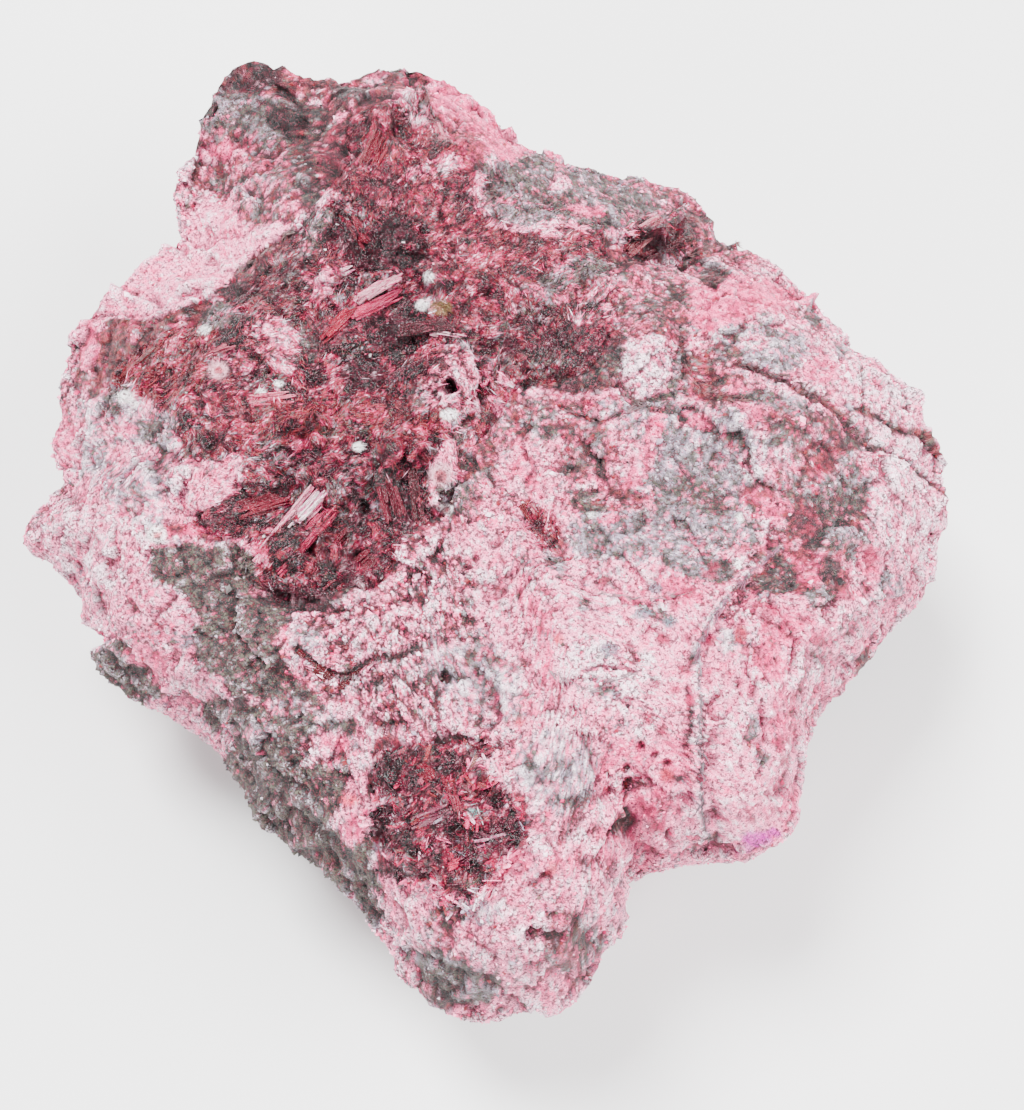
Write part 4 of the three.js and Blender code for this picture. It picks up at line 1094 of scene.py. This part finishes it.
def add_rock(rng):
    """The rock. Gives its surface, as points, triangles, moods and places in them, and what faces up."""
    rings = ring_points(*solid("matrix"))
    triangles = stitched([len(ring) for ring in rings])
    points = softened(np.concatenate(rings), triangles, ROCK_ROUNDS)
    spots = to_pixels(points)
    near = np.zeros(len(points))
    for half, line in SMOOTHED:
        near = np.maximum(near, 1 - blend_step(0.7 * half, 1.3 * half, line_distance(spots, line)[0]))
    points += (softened(points, triangles, SMOOTHED_ROUNDS) - points) * near[:, None]
    normals = corner_normals(points, triangles)
    top = blend_step(-0.35, -0.05, normals @ BACK_AXIS)
    mix = moods_at(points, spots, top)
    _, strands = bundles(points, spots)
    out = worn(points, spots, mix, strands, top, ROCK_LUMPS)
    height = out - softened(out[:, None], triangles, LEVEL_ROUNDS)[:, 0]
    above_foot = blend_step(0.0, 2.5, points[:, 2])
    points = points + normals * (out * above_foot)[:, None]
    points[:, 2] = np.maximum(points[:, 2], 0)
    places, tint, fleck = painted(points, mix, strands, height, rng)
    colours = {"tint": tint, "fleck": fleck, "finish": finish_rows(mix), "strands": strands}
    material = speckled("gangue_stone", 0.8, 0.5, 1.68)
    rock = make_piece("rock", points, triangles, len(triangles), colours, material)
    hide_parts("matrix")
    return (points, triangles, mix, places), top


# Small solids on the surface


def spread(points, triangles, weights, count, rng):
    """Random places on a mesh, more of them where its points weigh more: triangle and three shares."""
    a, b, c = (points[triangles[:, n]] for n in range(3))
    area = np.linalg.norm(np.cross(b - a, c - a), axis=-1) * weights[triangles].mean(axis=1)
    chosen = rng.choice(len(triangles), count, p=area / area.sum())
    shares = rng.dirichlet((1, 1, 1), count)
    return triangles[chosen], shares


def on_mesh(rows, corners, shares):
    """Rows of values of a mesh's points, at places given by triangle and three shares."""
    return np.einsum("nk,nkd->nd", shares, rows[corners])


def unit(rows):
    return rows / np.maximum(np.linalg.norm(rows, axis=-1, keepdims=True), 1e-12)


def repeated(corners, faces):
    """Small solids with the same faces, given the places of each corner: points and triangles."""
    start = len(corners) * np.arange(len(corners[0]))
    points = np.stack(corners, axis=1).reshape(-1, 3)
    return points, (np.array(faces)[None] + start[:, None, None]).reshape(-1, 3)


def splinters(roots, ways, sides, lengths, widths):
    """Needles of four faces, pointed at both ends."""
    up = np.cross(ways, sides)
    half = 0.5 * widths[:, None]
    tip = roots + ways * lengths[:, None]
    middle = roots + ways * (0.45 * lengths)[:, None]
    corners = [roots, tip, middle + sides * half + up * 0.5 * half, middle - sides * half]
    return repeated(corners, [[0, 1, 2], [1, 0, 3], [0, 2, 3], [2, 1, 3]])


def grains(places, ups, sizes, rng):
    """Angular grains of eight faces."""
    count = len(places)
    way = unit(np.cross(ups, rng.normal(size=(count, 3))))
    side = np.cross(ups, way)
    corners = []
    for axis, sign in ((way, 1), (side, 1), (way, -1), (side, -1), (ups, 1), (ups, -1)):
        corners.append(places + sign * axis * (0.5 * sizes * rng.uniform(0.6, 1.3, count))[:, None])
    upper = [[0, 1, 4], [1, 2, 4], [2, 3, 4], [3, 0, 4]]
    return repeated(corners, upper + [[1, 0, 5], [2, 1, 5], [3, 2, 5], [0, 3, 5]])


def blades(roots, ways, sides, lengths, widths, thicknesses):
    """Flat blades with chisel tips."""
    up = np.cross(ways, sides)
    corners = []
    for along, across, through in (
        (-0.1, 0.5, 0.5), (-0.1, -0.5, 0.5), (-0.1, -0.5, -0.5), (-0.1, 0.5, -0.5),
        (0.85, 0.48, 0.5), (0.85, -0.48, 0.5), (0.85, -0.48, -0.5), (0.85, 0.48, -0.5),
        (1.0, 0.25, 0.0), (1.0, -0.25, 0.0),
    ):
        across_rows = sides * (across * widths)[:, None]
        through_rows = up * (through * thicknesses)[:, None]
        corners.append(roots + ways * (along * lengths)[:, None] + across_rows + through_rows)
    sheath = [[0, 1, 5, 4], [1, 2, 6, 5], [2, 3, 7, 6], [3, 0, 4, 7]]
    quads = sheath + [[4, 5, 9, 8], [6, 7, 8, 9], [3, 2, 1, 0]]
    faces = [quad[:3] for quad in quads] + [[quad[0], quad[2], quad[3]] for quad in quads]
    return repeated(corners, faces + [[5, 6, 9], [7, 4, 8]])


def joined(parts):
    """Several sets of points, triangles and rows of values for each point as one."""
    triangles = []
    start = 0
    for part in parts:
        triangles.append(part[1] + start)
        start += len(part[0])
    columns = [np.concatenate(rows) for rows in list(zip(*parts))[2:]]
    return np.concatenate([part[0] for part in parts]), np.concatenate(triangles), *columns


def plainly(part):
    """A part whose needles or plates each have one tone: its second colour and strands are added."""
    points, triangles, tints = part
    return points, triangles, tints, tints, np.zeros((len(points), 3))


def folded(share):
    """Shares that lie past 0 or 1 turned back, so that they stay evenly spread."""
    return 1 - np.abs(1 - np.abs(share))


def own_colours(surface, corners, shares, variety, rng):
    """Colours for small solids that are close to those of the surface under them."""
    count = len(corners)
    places = on_mesh(surface[3], corners, shares)
    share = folded(places[:, 0] + rng.normal(0, variety, count))
    family = folded(places[:, 1] + rng.normal(0, 0.7 * variety, count))
    colours = mixed(on_mesh(surface[2], corners, shares), share, family)
    return spotted(colours, on_mesh(surface[0], corners, shares), 0.8)


def scattered_splinters(surface, weights, count, length, width, lift, rng):
    """Needles that lie along a surface's fibres, in the colours of its moods."""
    points, triangles = surface[:2]
    normals = corner_normals(points, triangles)
    corners, shares = spread(points, triangles, weights, count, rng)
    places = on_mesh(points, corners, shares)
    ups = unit(on_mesh(normals, corners, shares))
    bearing = bundles(places, to_pixels(places))[0] + rng.normal(0, 0.4, count)
    level = np.stack([np.cos(bearing), np.sin(bearing), np.zeros(count)], -1)
    flat = level - ups * np.sum(level * ups, axis=-1, keepdims=True)
    ways = unit(flat + ups * rng.uniform(0, lift, (count, 1)))
    sides = unit(np.cross(ups, ways) + ups * rng.normal(0, 0.6, (count, 1)))
    lengths = length * rng.uniform(0.45, 1.5, count)
    widths = width * rng.uniform(0.6, 1.5, count)
    tints = own_colours(surface, corners, shares, 0.16, rng)
    roots = places - ways * (0.4 * lengths)[:, None] + ups * (0.2 * widths)[:, None]
    made, faces = splinters(roots, ways, unit(np.cross(ways, np.cross(sides, ways))), lengths, widths)
    return made, faces, np.repeat(tints, NEEDLE_CORNERS, axis=0)


def nearest_places(points, spots, pixels):
    """For each pixel, the point of the surface that is seen there."""
    return np.array([points[np.argmin(np.hypot(*(spots - pixel).T))] for pixel in pixels])


def crack_shade_path(line, half):
    """Pixels along a dark line of painted crack shade, one to every few pixels of its line, that wander to
    its sides.
    """
    corners = np.array(line, float)
    run = np.linalg.norm(np.diff(corners, axis=0), axis=1)
    stations = np.arange(0, run.sum(), 2.5)
    ends = np.concatenate([[0], np.cumsum(run)])
    path = np.stack([np.interp(stations, ends, corners[:, axis]) for axis in (0, 1)], axis=-1)
    flat = np.stack([path[:, 0], path[:, 1], path[:, 1]], -1)
    return path + half * np.stack([noise(flat, 14.0, seed) for seed in (1, 2)], -1)


def crack_shade_needles(points, rng):
    """Hair-fine dark needles along thin cracks and steps, as painted shade in them, given the points of the
    upper side.
    """
    spots = to_pixels(points)
    upward = np.array([0, 0, 1.0])
    parts = []
    for colour, half, line in CRACK_SHADE_LINES:
        places = nearest_places(points, spots, crack_shade_path(line, half))
        ways = unit(np.gradient(places, axis=0) + 1e-6)
        chosen = rng.integers(0, len(places), 3 * len(places))
        count = len(chosen)
        across = half * SCALE * rng.uniform(-0.7, 0.7, count)
        aside = np.cross(ways[chosen], upward) * across[:, None]
        roots = places[chosen] + aside + 0.03 * upward * rng.uniform(0, 1, (count, 1))
        needle_ways = unit(ways[chosen] + rng.normal(0, 0.12, (count, 3)))
        lengths = rng.uniform(0.5, 1.4, count)
        sides = unit(np.cross(needle_ways, upward))
        made, faces = splinters(roots, needle_ways, sides, lengths, rng.uniform(0.07, 0.16, count))
        tints = linear(colour) * rng.uniform(0.4, 1.6, (count, 1))
        parts.append((made, faces, np.repeat(tints, NEEDLE_CORNERS, axis=0)))
    return parts


def add_sugar(surface, top, rng):
    """Grains and hair-fine needles that crust the rock, with dark needles along its cracks as painted shade.
    """
    points, triangles, mix, _ = surface
    height_share = blend_step(1.5, 5.0, points[:, 2])
    weights = height_share * (0.06 + mix[:, CRUMBLY]) * (0.35 + 0.65 * top)
    count, size, variety = GRAINS
    corners, shares = spread(points, triangles, weights, count, rng)
    places = on_mesh(points, corners, shares)
    ups = unit(on_mesh(corner_normals(points, triangles), corners, shares))
    sizes = rng.lognormal(math.log(size), variety, count)
    made, faces = grains(places, ups, sizes, rng)
    tints = np.repeat(own_colours(surface, corners, shares, 0.2, rng), GRAIN_CORNERS, axis=0)
    hairs_weight = height_share * (0.3 + mix[:, FIBROUS]) * (0.25 + 0.75 * top)
    hairs = scattered_splinters(surface, hairs_weight, *HAIRS, rng)
    # The last parts are dark needles along thin cracks and steps: painted shade in them
    parts = [(made, faces, tints), hairs, *crack_shade_needles(points[top > 0.5], rng)]
    all_points, all_faces, all_tints = joined(parts)
    material = plain_grains("gangue_grains", 0.5)
    sugar = make_piece("rock_sugar", all_points, all_faces, 0, {"tint": all_tints}, material)


# Crusts of crystals


def grown(area):
    """An area of a grid with the neighbours on its four sides."""
    wide = area.copy()
    wide[1:] |= area[:-1]
    wide[:-1] |= area[1:]
    wide[:, 1:] |= area[:, :-1]
    wide[:, :-1] |= area[:, 1:]
    return wide


def crust_sheet(node, rock_tree):
    """A sheet over a crust that runs in under the rock: points, triangles, and 1 for each on the crust."""
    corners, edges, tree = solid(node)
    low = corners.min(axis=0) - CRUST_MARGIN - CRUST_PITCH
    high = corners.max(axis=0) + CRUST_MARGIN + CRUST_PITCH
    xs = np.arange(low[0], high[0], CRUST_PITCH)
    ys = np.arange(low[1], high[1], CRUST_PITCH)
    level = np.array([[drop(tree, x, y) for y in ys] for x in xs])
    crust = ~np.isnan(level)
    for i, j in np.argwhere(crust):
        level[i, j] = max(level[i, j], drop(rock_tree, xs[i], ys[j], 0) + 0.1)
    wide = crust
    for _ in range(round(CRUST_MARGIN / CRUST_PITCH)):
        wide = grown(wide)
    for i, j in np.argwhere(wide & ~crust):
        level[i, j] = drop(rock_tree, xs[i], ys[j]) - CRUST_BURIED
    wide = wide & ~np.isnan(level)
    index = np.full(level.shape, -1)
    index[wide] = np.arange(wide.sum())
    i, j = np.nonzero(wide)
    points = np.stack([xs[i], ys[j], level[i, j]], axis=-1)
    a, b, c, d = index[:-1, :-1], index[1:, :-1], index[1:, 1:], index[:-1, 1:]
    whole = (a >= 0) & (b >= 0) & (c >= 0) & (d >= 0)
    a, b, c, d = (corner[whole] for corner in (a, b, c, d))
    triangles = np.concatenate([np.stack([a, b, c], -1), np.stack([a, c, d], -1)])
    return points, triangles, crust[i, j].astype(float)


def closed_below(points, triangles):
    """The sheet with side walls down from its open edge and a fan that closes it, all within the rock."""
    edges = np.concatenate([triangles[:, [0, 1]], triangles[:, [1, 2]], triangles[:, [2, 0]]])
    keys = edges[:, 0] * len(points) + edges[:, 1]
    back = edges[:, 1] * len(points) + edges[:, 0]
    open_edges = edges[~np.isin(keys, back)]
    ring = np.unique(open_edges)
    lower = points[ring] - np.array([0, 0, CRUST_DEPTH])
    place = np.full(len(points), -1)
    place[ring] = len(points) + np.arange(len(ring))
    middle = lower.mean(axis=0, keepdims=True) - np.array([0, 0, CRUST_DEPTH])
    a, b = open_edges[:, 0], open_edges[:, 1]
    hub = np.full(len(a), len(points) + len(ring))
    walls = [np.stack([b, a, place[a]], -1), np.stack([b, place[a], place[b]], -1)]
    fan = np.stack([place[b], place[a], hub], -1)
    return np.concatenate([points, lower, middle]), np.concatenate([triangles, *walls, fan])


def lath_bundle(ends, colour, reach, count, width, rng):
    """Laths side by side from one end to the other: points, triangles, two colours and strands."""

    def to_corners(rows):
        return np.repeat(rows, BLADE_CORNERS, axis=0)

    length = np.linalg.norm(ends[1] - ends[0])
    ways = unit(unit((ends[1] - ends[0])[None]) + rng.normal(0, 0.03, (count, 3)))
    level = unit(np.cross(np.array([0, 0, 1.0]), ways))
    up = np.cross(ways, level)
    roll = rng.normal(0, 0.2, count)[:, None]
    sides = level * np.cos(roll) + up * np.sin(roll)
    lengths = length * rng.uniform(0.3, 0.9, count)
    slack = length - lengths
    aside = rng.uniform(-1, 1, count) * reach * SCALE
    roots = ends[0] + ways * (slack * rng.uniform(0, 1, count))[:, None] + level * aside[:, None]
    roots[:, 2] += rng.uniform(0.0, 0.4, count)
    widths = width * rng.uniform(0.4, 1.3, count)
    points, faces = blades(roots, ways, sides, lengths, widths, 0.3 * widths)
    tints = linear(colour) * rng.uniform(0.5, 1.2, (count, 1))
    flecks = tints * np.array([0.45, 0.12, 0.25])
    offset = points - to_corners(roots)
    along = np.sum(offset * to_corners(ways), axis=-1)
    across = np.sum(offset * to_corners(sides), axis=-1)
    strands = np.stack([along, across, to_corners(rng.uniform(0, 1, count))], axis=-1)
    return points, faces, to_corners(tints), to_corners(flecks), strands


def lath_bundles(points, rng):
    """The large laths that lie on a crust, given its points."""
    spots = to_pixels(points)
    low = points.min(axis=0)
    high = points.max(axis=0)
    made = []
    for colour, start, end, reach, count, width in LATHS:
        ends = nearest_places(points, spots, np.array([start, end], float))
        away = np.hypot(*(spots - np.array(start)).T).min()
        if away <= 6 and low[0] < ends[0, 0] < high[0] and low[1] < ends[0, 1] < high[1]:
            made.append(lath_bundle(ends, colour, reach, LATH_SPLITS * count, width, rng))
    return made


def pocket_plates(surface, inside, rng):
    """The tabular crystals that stand at all angles in the pocket."""
    points, triangles = surface[:2]
    count, length, width = PLATES
    corners, shares = spread(points, triangles, inside, count, rng)
    places = on_mesh(points, corners, shares)
    bearing = rng.uniform(0, 2 * math.pi, count)
    rise = rng.uniform(-0.2, 0.5, count)
    ways = np.stack([np.cos(bearing) * np.cos(rise), np.sin(bearing) * np.cos(rise), np.sin(rise)], -1)
    sides = unit(np.cross(ways, rng.normal(size=(count, 3))))
    lengths = rng.uniform(*length, count)
    widths = rng.uniform(*width, count)
    roots = places - ways * (0.35 * lengths)[:, None]
    made, faces = blades(roots, ways, sides, lengths, widths, 0.22 * widths)
    tints = own_colours(surface, corners, shares, 0.12, rng)
    return made, faces, np.repeat(tints, BLADE_CORNERS, axis=0)


def padded(rows, filler, count):
    """Rows with as many more of one kind at their end as it takes to reach a count."""
    return np.concatenate([rows, np.tile(filler, (count - len(rows), 1))])


def crust_surface(node, rock_tree, rng):
    """The top of a crust: its surface, which points are on the crust, two colours, and strands."""
    points, triangles, inside = crust_sheet(node, rock_tree)
    points[:, 2:] = softened(points[:, 2:], triangles, CRUST_ROUNDS)
    normals = corner_normals(points, triangles)
    spots = to_pixels(points)
    top = np.ones(len(points))
    mix = moods_at(points, spots, top)
    _, strands = bundles(points, spots)
    out = worn(points, spots, mix, strands, top, CRUST_LUMPS) * (0.3 + 0.7 * inside)
    height = out - softened(out[:, None], triangles, LEVEL_ROUNDS)[:, 0]
    points = points + normals * out[:, None]
    places, tint, fleck = painted(points, mix, strands, height, rng)
    return (points, triangles, mix, places), inside, tint, fleck, strands


def add_crust(node, rock_tree, material, rng):
    """One crust: a closed sheet in its hollow, with needles, laths and plates on it."""
    surface, inside, tint, fleck, strands = crust_surface(node, rock_tree, rng)
    points, triangles, mix, _ = surface
    sheet_points, sheet_faces = closed_below(points, triangles)
    count = len(sheet_points)
    hidden = linear(HIDDEN_COLOUR)
    colours = [padded(tint, hidden, count), padded(fleck, hidden, count), padded(strands, (0, 0, 0), count)]
    parts = [(sheet_points, sheet_faces, *colours)]
    density, length, width, lift = CRUSTS[node]
    needle_count = int(inside.sum() * CRUST_PITCH**2 * density)
    parts.append(plainly(scattered_splinters(surface, inside, needle_count, length, width, lift, rng)))
    parts += lath_bundles(points, rng)
    if node == "crystal_pocket":
        parts.append(plainly(pocket_plates(surface, inside, rng)))
    all_points, all_faces, all_tints, all_flecks, all_strands = joined(parts)
    finish = padded(padded(finish_rows(mix), (0, 0, 0), count), NEEDLE_FINISH, len(all_points))
    colours = {"tint": all_tints, "fleck": all_flecks, "finish": finish, "strands": all_strands}
    piece = make_piece(node + "_blades", all_points, all_faces, len(sheet_faces), colours, material)
    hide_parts(node)


# Materials


class Nodes:
    """Short calls for building a material's nodes."""

    def __init__(self, name):
        self.material = bpy.data.materials.new(name)
        self.material.use_nodes = True
        self.tree = self.material.node_tree
        self.shader = self.tree.nodes["Principled BSDF"]

    def add(self, kind, **values):
        node = self.tree.nodes.new(kind)
        for key, value in values.items():
            setattr(node, key, value)
        return node

    def feed(self, socket, value):
        """A number, a colour or another node's output into a socket."""
        if isinstance(value, (int, float)):
            socket.default_value = value
        elif isinstance(value, (tuple, np.ndarray)):
            socket.default_value = (*tuple(value), 1.0)
        else:
            self.tree.links.new(value, socket)

    def attribute(self, name):
        return self.add("ShaderNodeAttribute", attribute_name=name).outputs["Color"]

    def coordinates(self, shift):
        place = self.add("ShaderNodeMapping")
        place.inputs["Location"].default_value = (shift, 2 * shift, -shift)
        self.feed(place.inputs["Vector"], self.add("ShaderNodeTexCoord").outputs["Object"])
        return place.outputs["Vector"]

    def noise(self, size, detail=2.0, shift=0.0):
        """Noise with lumps of a size in mm."""
        node = self.add("ShaderNodeTexNoise")
        node.inputs["Scale"].default_value = 1 / (size * MM)
        node.inputs["Detail"].default_value = detail
        node.inputs["Roughness"].default_value = 0.65
        self.feed(node.inputs["Vector"], self.coordinates(shift))
        return node.outputs["Fac"]

    def streaks(self, width):
        """Noise that runs along the fibres, with streaks of a width in mm."""
        place = self.add("ShaderNodeMapping")
        place.inputs["Scale"].default_value = (0.12, 1, 90)
        self.feed(place.inputs["Vector"], self.attribute("strands"))
        node = self.add("ShaderNodeTexNoise")
        node.inputs["Scale"].default_value = 1 / width
        node.inputs["Detail"].default_value = 2
        self.feed(node.inputs["Vector"], place.outputs["Vector"])
        return node.outputs["Fac"]

    def voronoi(self, size, shift=0.0):
        node = self.add("ShaderNodeTexVoronoi")
        node.inputs["Scale"].default_value = 1 / (size * MM)
        self.feed(node.inputs["Vector"], self.coordinates(shift))
        return node

    def ramp(self, value, low, high, start=0.0, end=1.0):
        node = self.add("ShaderNodeMapRange")
        for key, number in (("From Min", low), ("From Max", high), ("To Min", start), ("To Max", end)):
            node.inputs[key].default_value = number
        self.feed(node.inputs["Value"], value)
        return node.outputs["Result"]

    def mix(self, amount, first, second, kind="MIX"):
        node = self.add("ShaderNodeMix", data_type="RGBA", blend_type=kind)
        self.feed(node.inputs["Factor"], amount)
        self.feed(node.inputs["A"], first)
        self.feed(node.inputs["B"], second)
        return node.outputs["Result"]

    def between(self, amount, first, second):
        """The number an amount of the way from the first to the second."""
        node = self.add("ShaderNodeMix", data_type="FLOAT")
        self.feed(node.inputs["Factor"], amount)
        self.feed(node.inputs["A"], first)
        self.feed(node.inputs["B"], second)
        return node.outputs["Result"]

    def math(self, operation, first, second):
        node = self.add("ShaderNodeMath", operation=operation)
        self.feed(node.inputs[0], first)
        self.feed(node.inputs[1], second)
        return node.outputs["Value"]

    def bump(self, height, distance):
        """Bump whose height of 1 stands a distance in mm."""
        node = self.add("ShaderNodeBump")
        node.inputs["Strength"].default_value = 1.0
        node.inputs["Distance"].default_value = distance * MM
        self.feed(node.inputs["Height"], height)
        self.feed(self.shader.inputs["Normal"], node.outputs["Normal"])


def speckled(name, roughness, darkest, lightest):
    """Stone or crust whose two colours are speckled together, with dark specks, reddish dots and glints, and
    a grain tone that paints light and shade of its bump.
    """
    nodes = Nodes(name)
    split = nodes.add("ShaderNodeSeparateColor")
    nodes.feed(split.inputs["Color"], nodes.attribute("finish"))
    fibrous = split.outputs["Blue"]
    fine = nodes.noise(0.26, 3)
    streaks = nodes.streaks(0.13)
    pattern = nodes.between(fibrous, fine, streaks)
    colour = nodes.mix(nodes.ramp(pattern, 0.46, 0.54), nodes.attribute("tint"), nodes.attribute("fleck"))
    # A tone from the same fine grain and streaks that the bump raises, lighter where they stand higher:
    # partly the stone's own tone, partly painted light and shade
    grain = nodes.noise(0.17, 1, 1.0)
    tone = nodes.ramp(nodes.between(fibrous, grain, streaks), 0.3, 0.7, darkest, lightest)
    colour = nodes.mix(1.0, colour, tone, "MULTIPLY")
    # Dark specks, sunk as tiny pits in the bump below: partly the stone's own dark stipple, partly painted
    # shade in the pits
    pits = nodes.noise(0.36, 2, 2.0)
    limit = nodes.ramp(split.outputs["Red"], 0.0, 1.0, 0.34, 0.46)
    speck = nodes.ramp(nodes.math("SUBTRACT", limit, pits), -0.01, 0.03)
    colour = nodes.mix(nodes.math("MULTIPLY", speck, 0.85), colour, tuple(linear(SPECK_COLOUR)))
    dots = nodes.ramp(nodes.noise(0.2, 1, 5.0), 0.4, 0.34)
    colour = nodes.mix(nodes.math("MULTIPLY", dots, 0.5), colour, tuple(linear(DOT_COLOUR)))
    facets = nodes.voronoi(0.28, 3.0)
    gleam_limit = nodes.ramp(split.outputs["Green"], 0.0, 1.0, 0.995, 0.95)
    gleam = nodes.ramp(nodes.math("SUBTRACT", facets.outputs["Color"], gleam_limit), 0.0, 0.01)
    colour = nodes.mix(nodes.math("MULTIPLY", gleam, 0.8), colour, tuple(linear(GLEAM_COLOUR)))
    nodes.feed(nodes.shader.inputs["Base Color"], colour)
    rough = nodes.ramp(fibrous, 0.0, 1.0, roughness, roughness - 0.3)
    rough = nodes.math("SUBTRACT", rough, nodes.math("MULTIPLY", gleam, 0.15))
    nodes.feed(nodes.shader.inputs["Roughness"], rough)
    relief = nodes.math("ADD", nodes.math("MULTIPLY", grain, 0.5), pattern)
    relief = nodes.math("SUBTRACT", relief, nodes.math("MULTIPLY", speck, 0.5))
    nodes.bump(relief, 0.45)
    return nodes.material


def plain_grains(name, roughness):
    """Grains and needles in their own colours."""
    nodes = Nodes(name)
    tone = nodes.ramp(nodes.noise(0.3, 2), 0.3, 0.7, 0.75, 1.25)
    colour = nodes.mix(1.0, nodes.attribute("tint"), tone, "MULTIPLY")
    nodes.feed(nodes.shader.inputs["Base Color"], colour)
    nodes.shader.inputs["Roughness"].default_value = roughness
    nodes.bump(nodes.noise(0.25, 2, 1.0), 0.1)
    return nodes.material


# Floor, light and camera


def add_stage():
    bpy.ops.mesh.primitive_plane_add(size=FLOOR_SIZE, location=(0, 0, 0))
    floor = bpy.context.object
    floor.name = "floor"
    nodes = Nodes("floor_paper")
    nodes.shader.inputs["Base Color"].default_value = (FLOOR_SHADE, FLOOR_SHADE, FLOOR_SHADE, 1)
    nodes.shader.inputs["Roughness"].default_value = 0.9
    floor.data.materials.append(nodes.material)


def add_light(name, place, size, power):
    data = bpy.data.lights.new(name, "AREA")
    data.size = size
    data.energy = power
    light = bpy.data.objects.new(name, data)
    bpy.context.scene.collection.objects.link(light)
    light.location = place
    aim = Vector(LIT_PLACE) - Vector(place)
    light.rotation_euler = aim.to_track_quat("-Z", "Y").to_euler()


def add_lights():
    for light in LIGHTS:
        add_light(*light)
    world = bpy.data.worlds.new("studio")
    bpy.context.scene.world = world
    world.use_nodes = True
    background = world.node_tree.nodes["Background"]
    background.inputs["Color"].default_value = (1, 1, 1, 1)
    background.inputs["Strength"].default_value = SKY_STRENGTH


def add_camera():
    data = bpy.data.cameras.new("camera")
    data.sensor_fit = "AUTO"
    data.sensor_width = SENSOR
    data.lens = SENSOR * FOCAL_PIXELS / PHOTO_HEIGHT
    camera = bpy.data.objects.new("camera", data)
    bpy.context.scene.collection.objects.link(camera)
    turn = Matrix.Rotation(TILT, 4, "X")
    camera.matrix_world = Matrix.Translation(Vector(EYE * MM)) @ turn
    bpy.context.scene.camera = camera


def build():
    rng = np.random.default_rng(SEED)
    add_camera()
    add_stage()
    add_lights()
    surface, top = add_rock(rng)
    add_sugar(surface, top, rng)
    rock_tree = tree_of(surface[0], surface[1].tolist())
    crust_material = speckled("roselite_crust", 0.55, 0.5, 1.7)
    for node in CRUSTS:
        add_crust(node, rock_tree, crust_material, rng)


build()
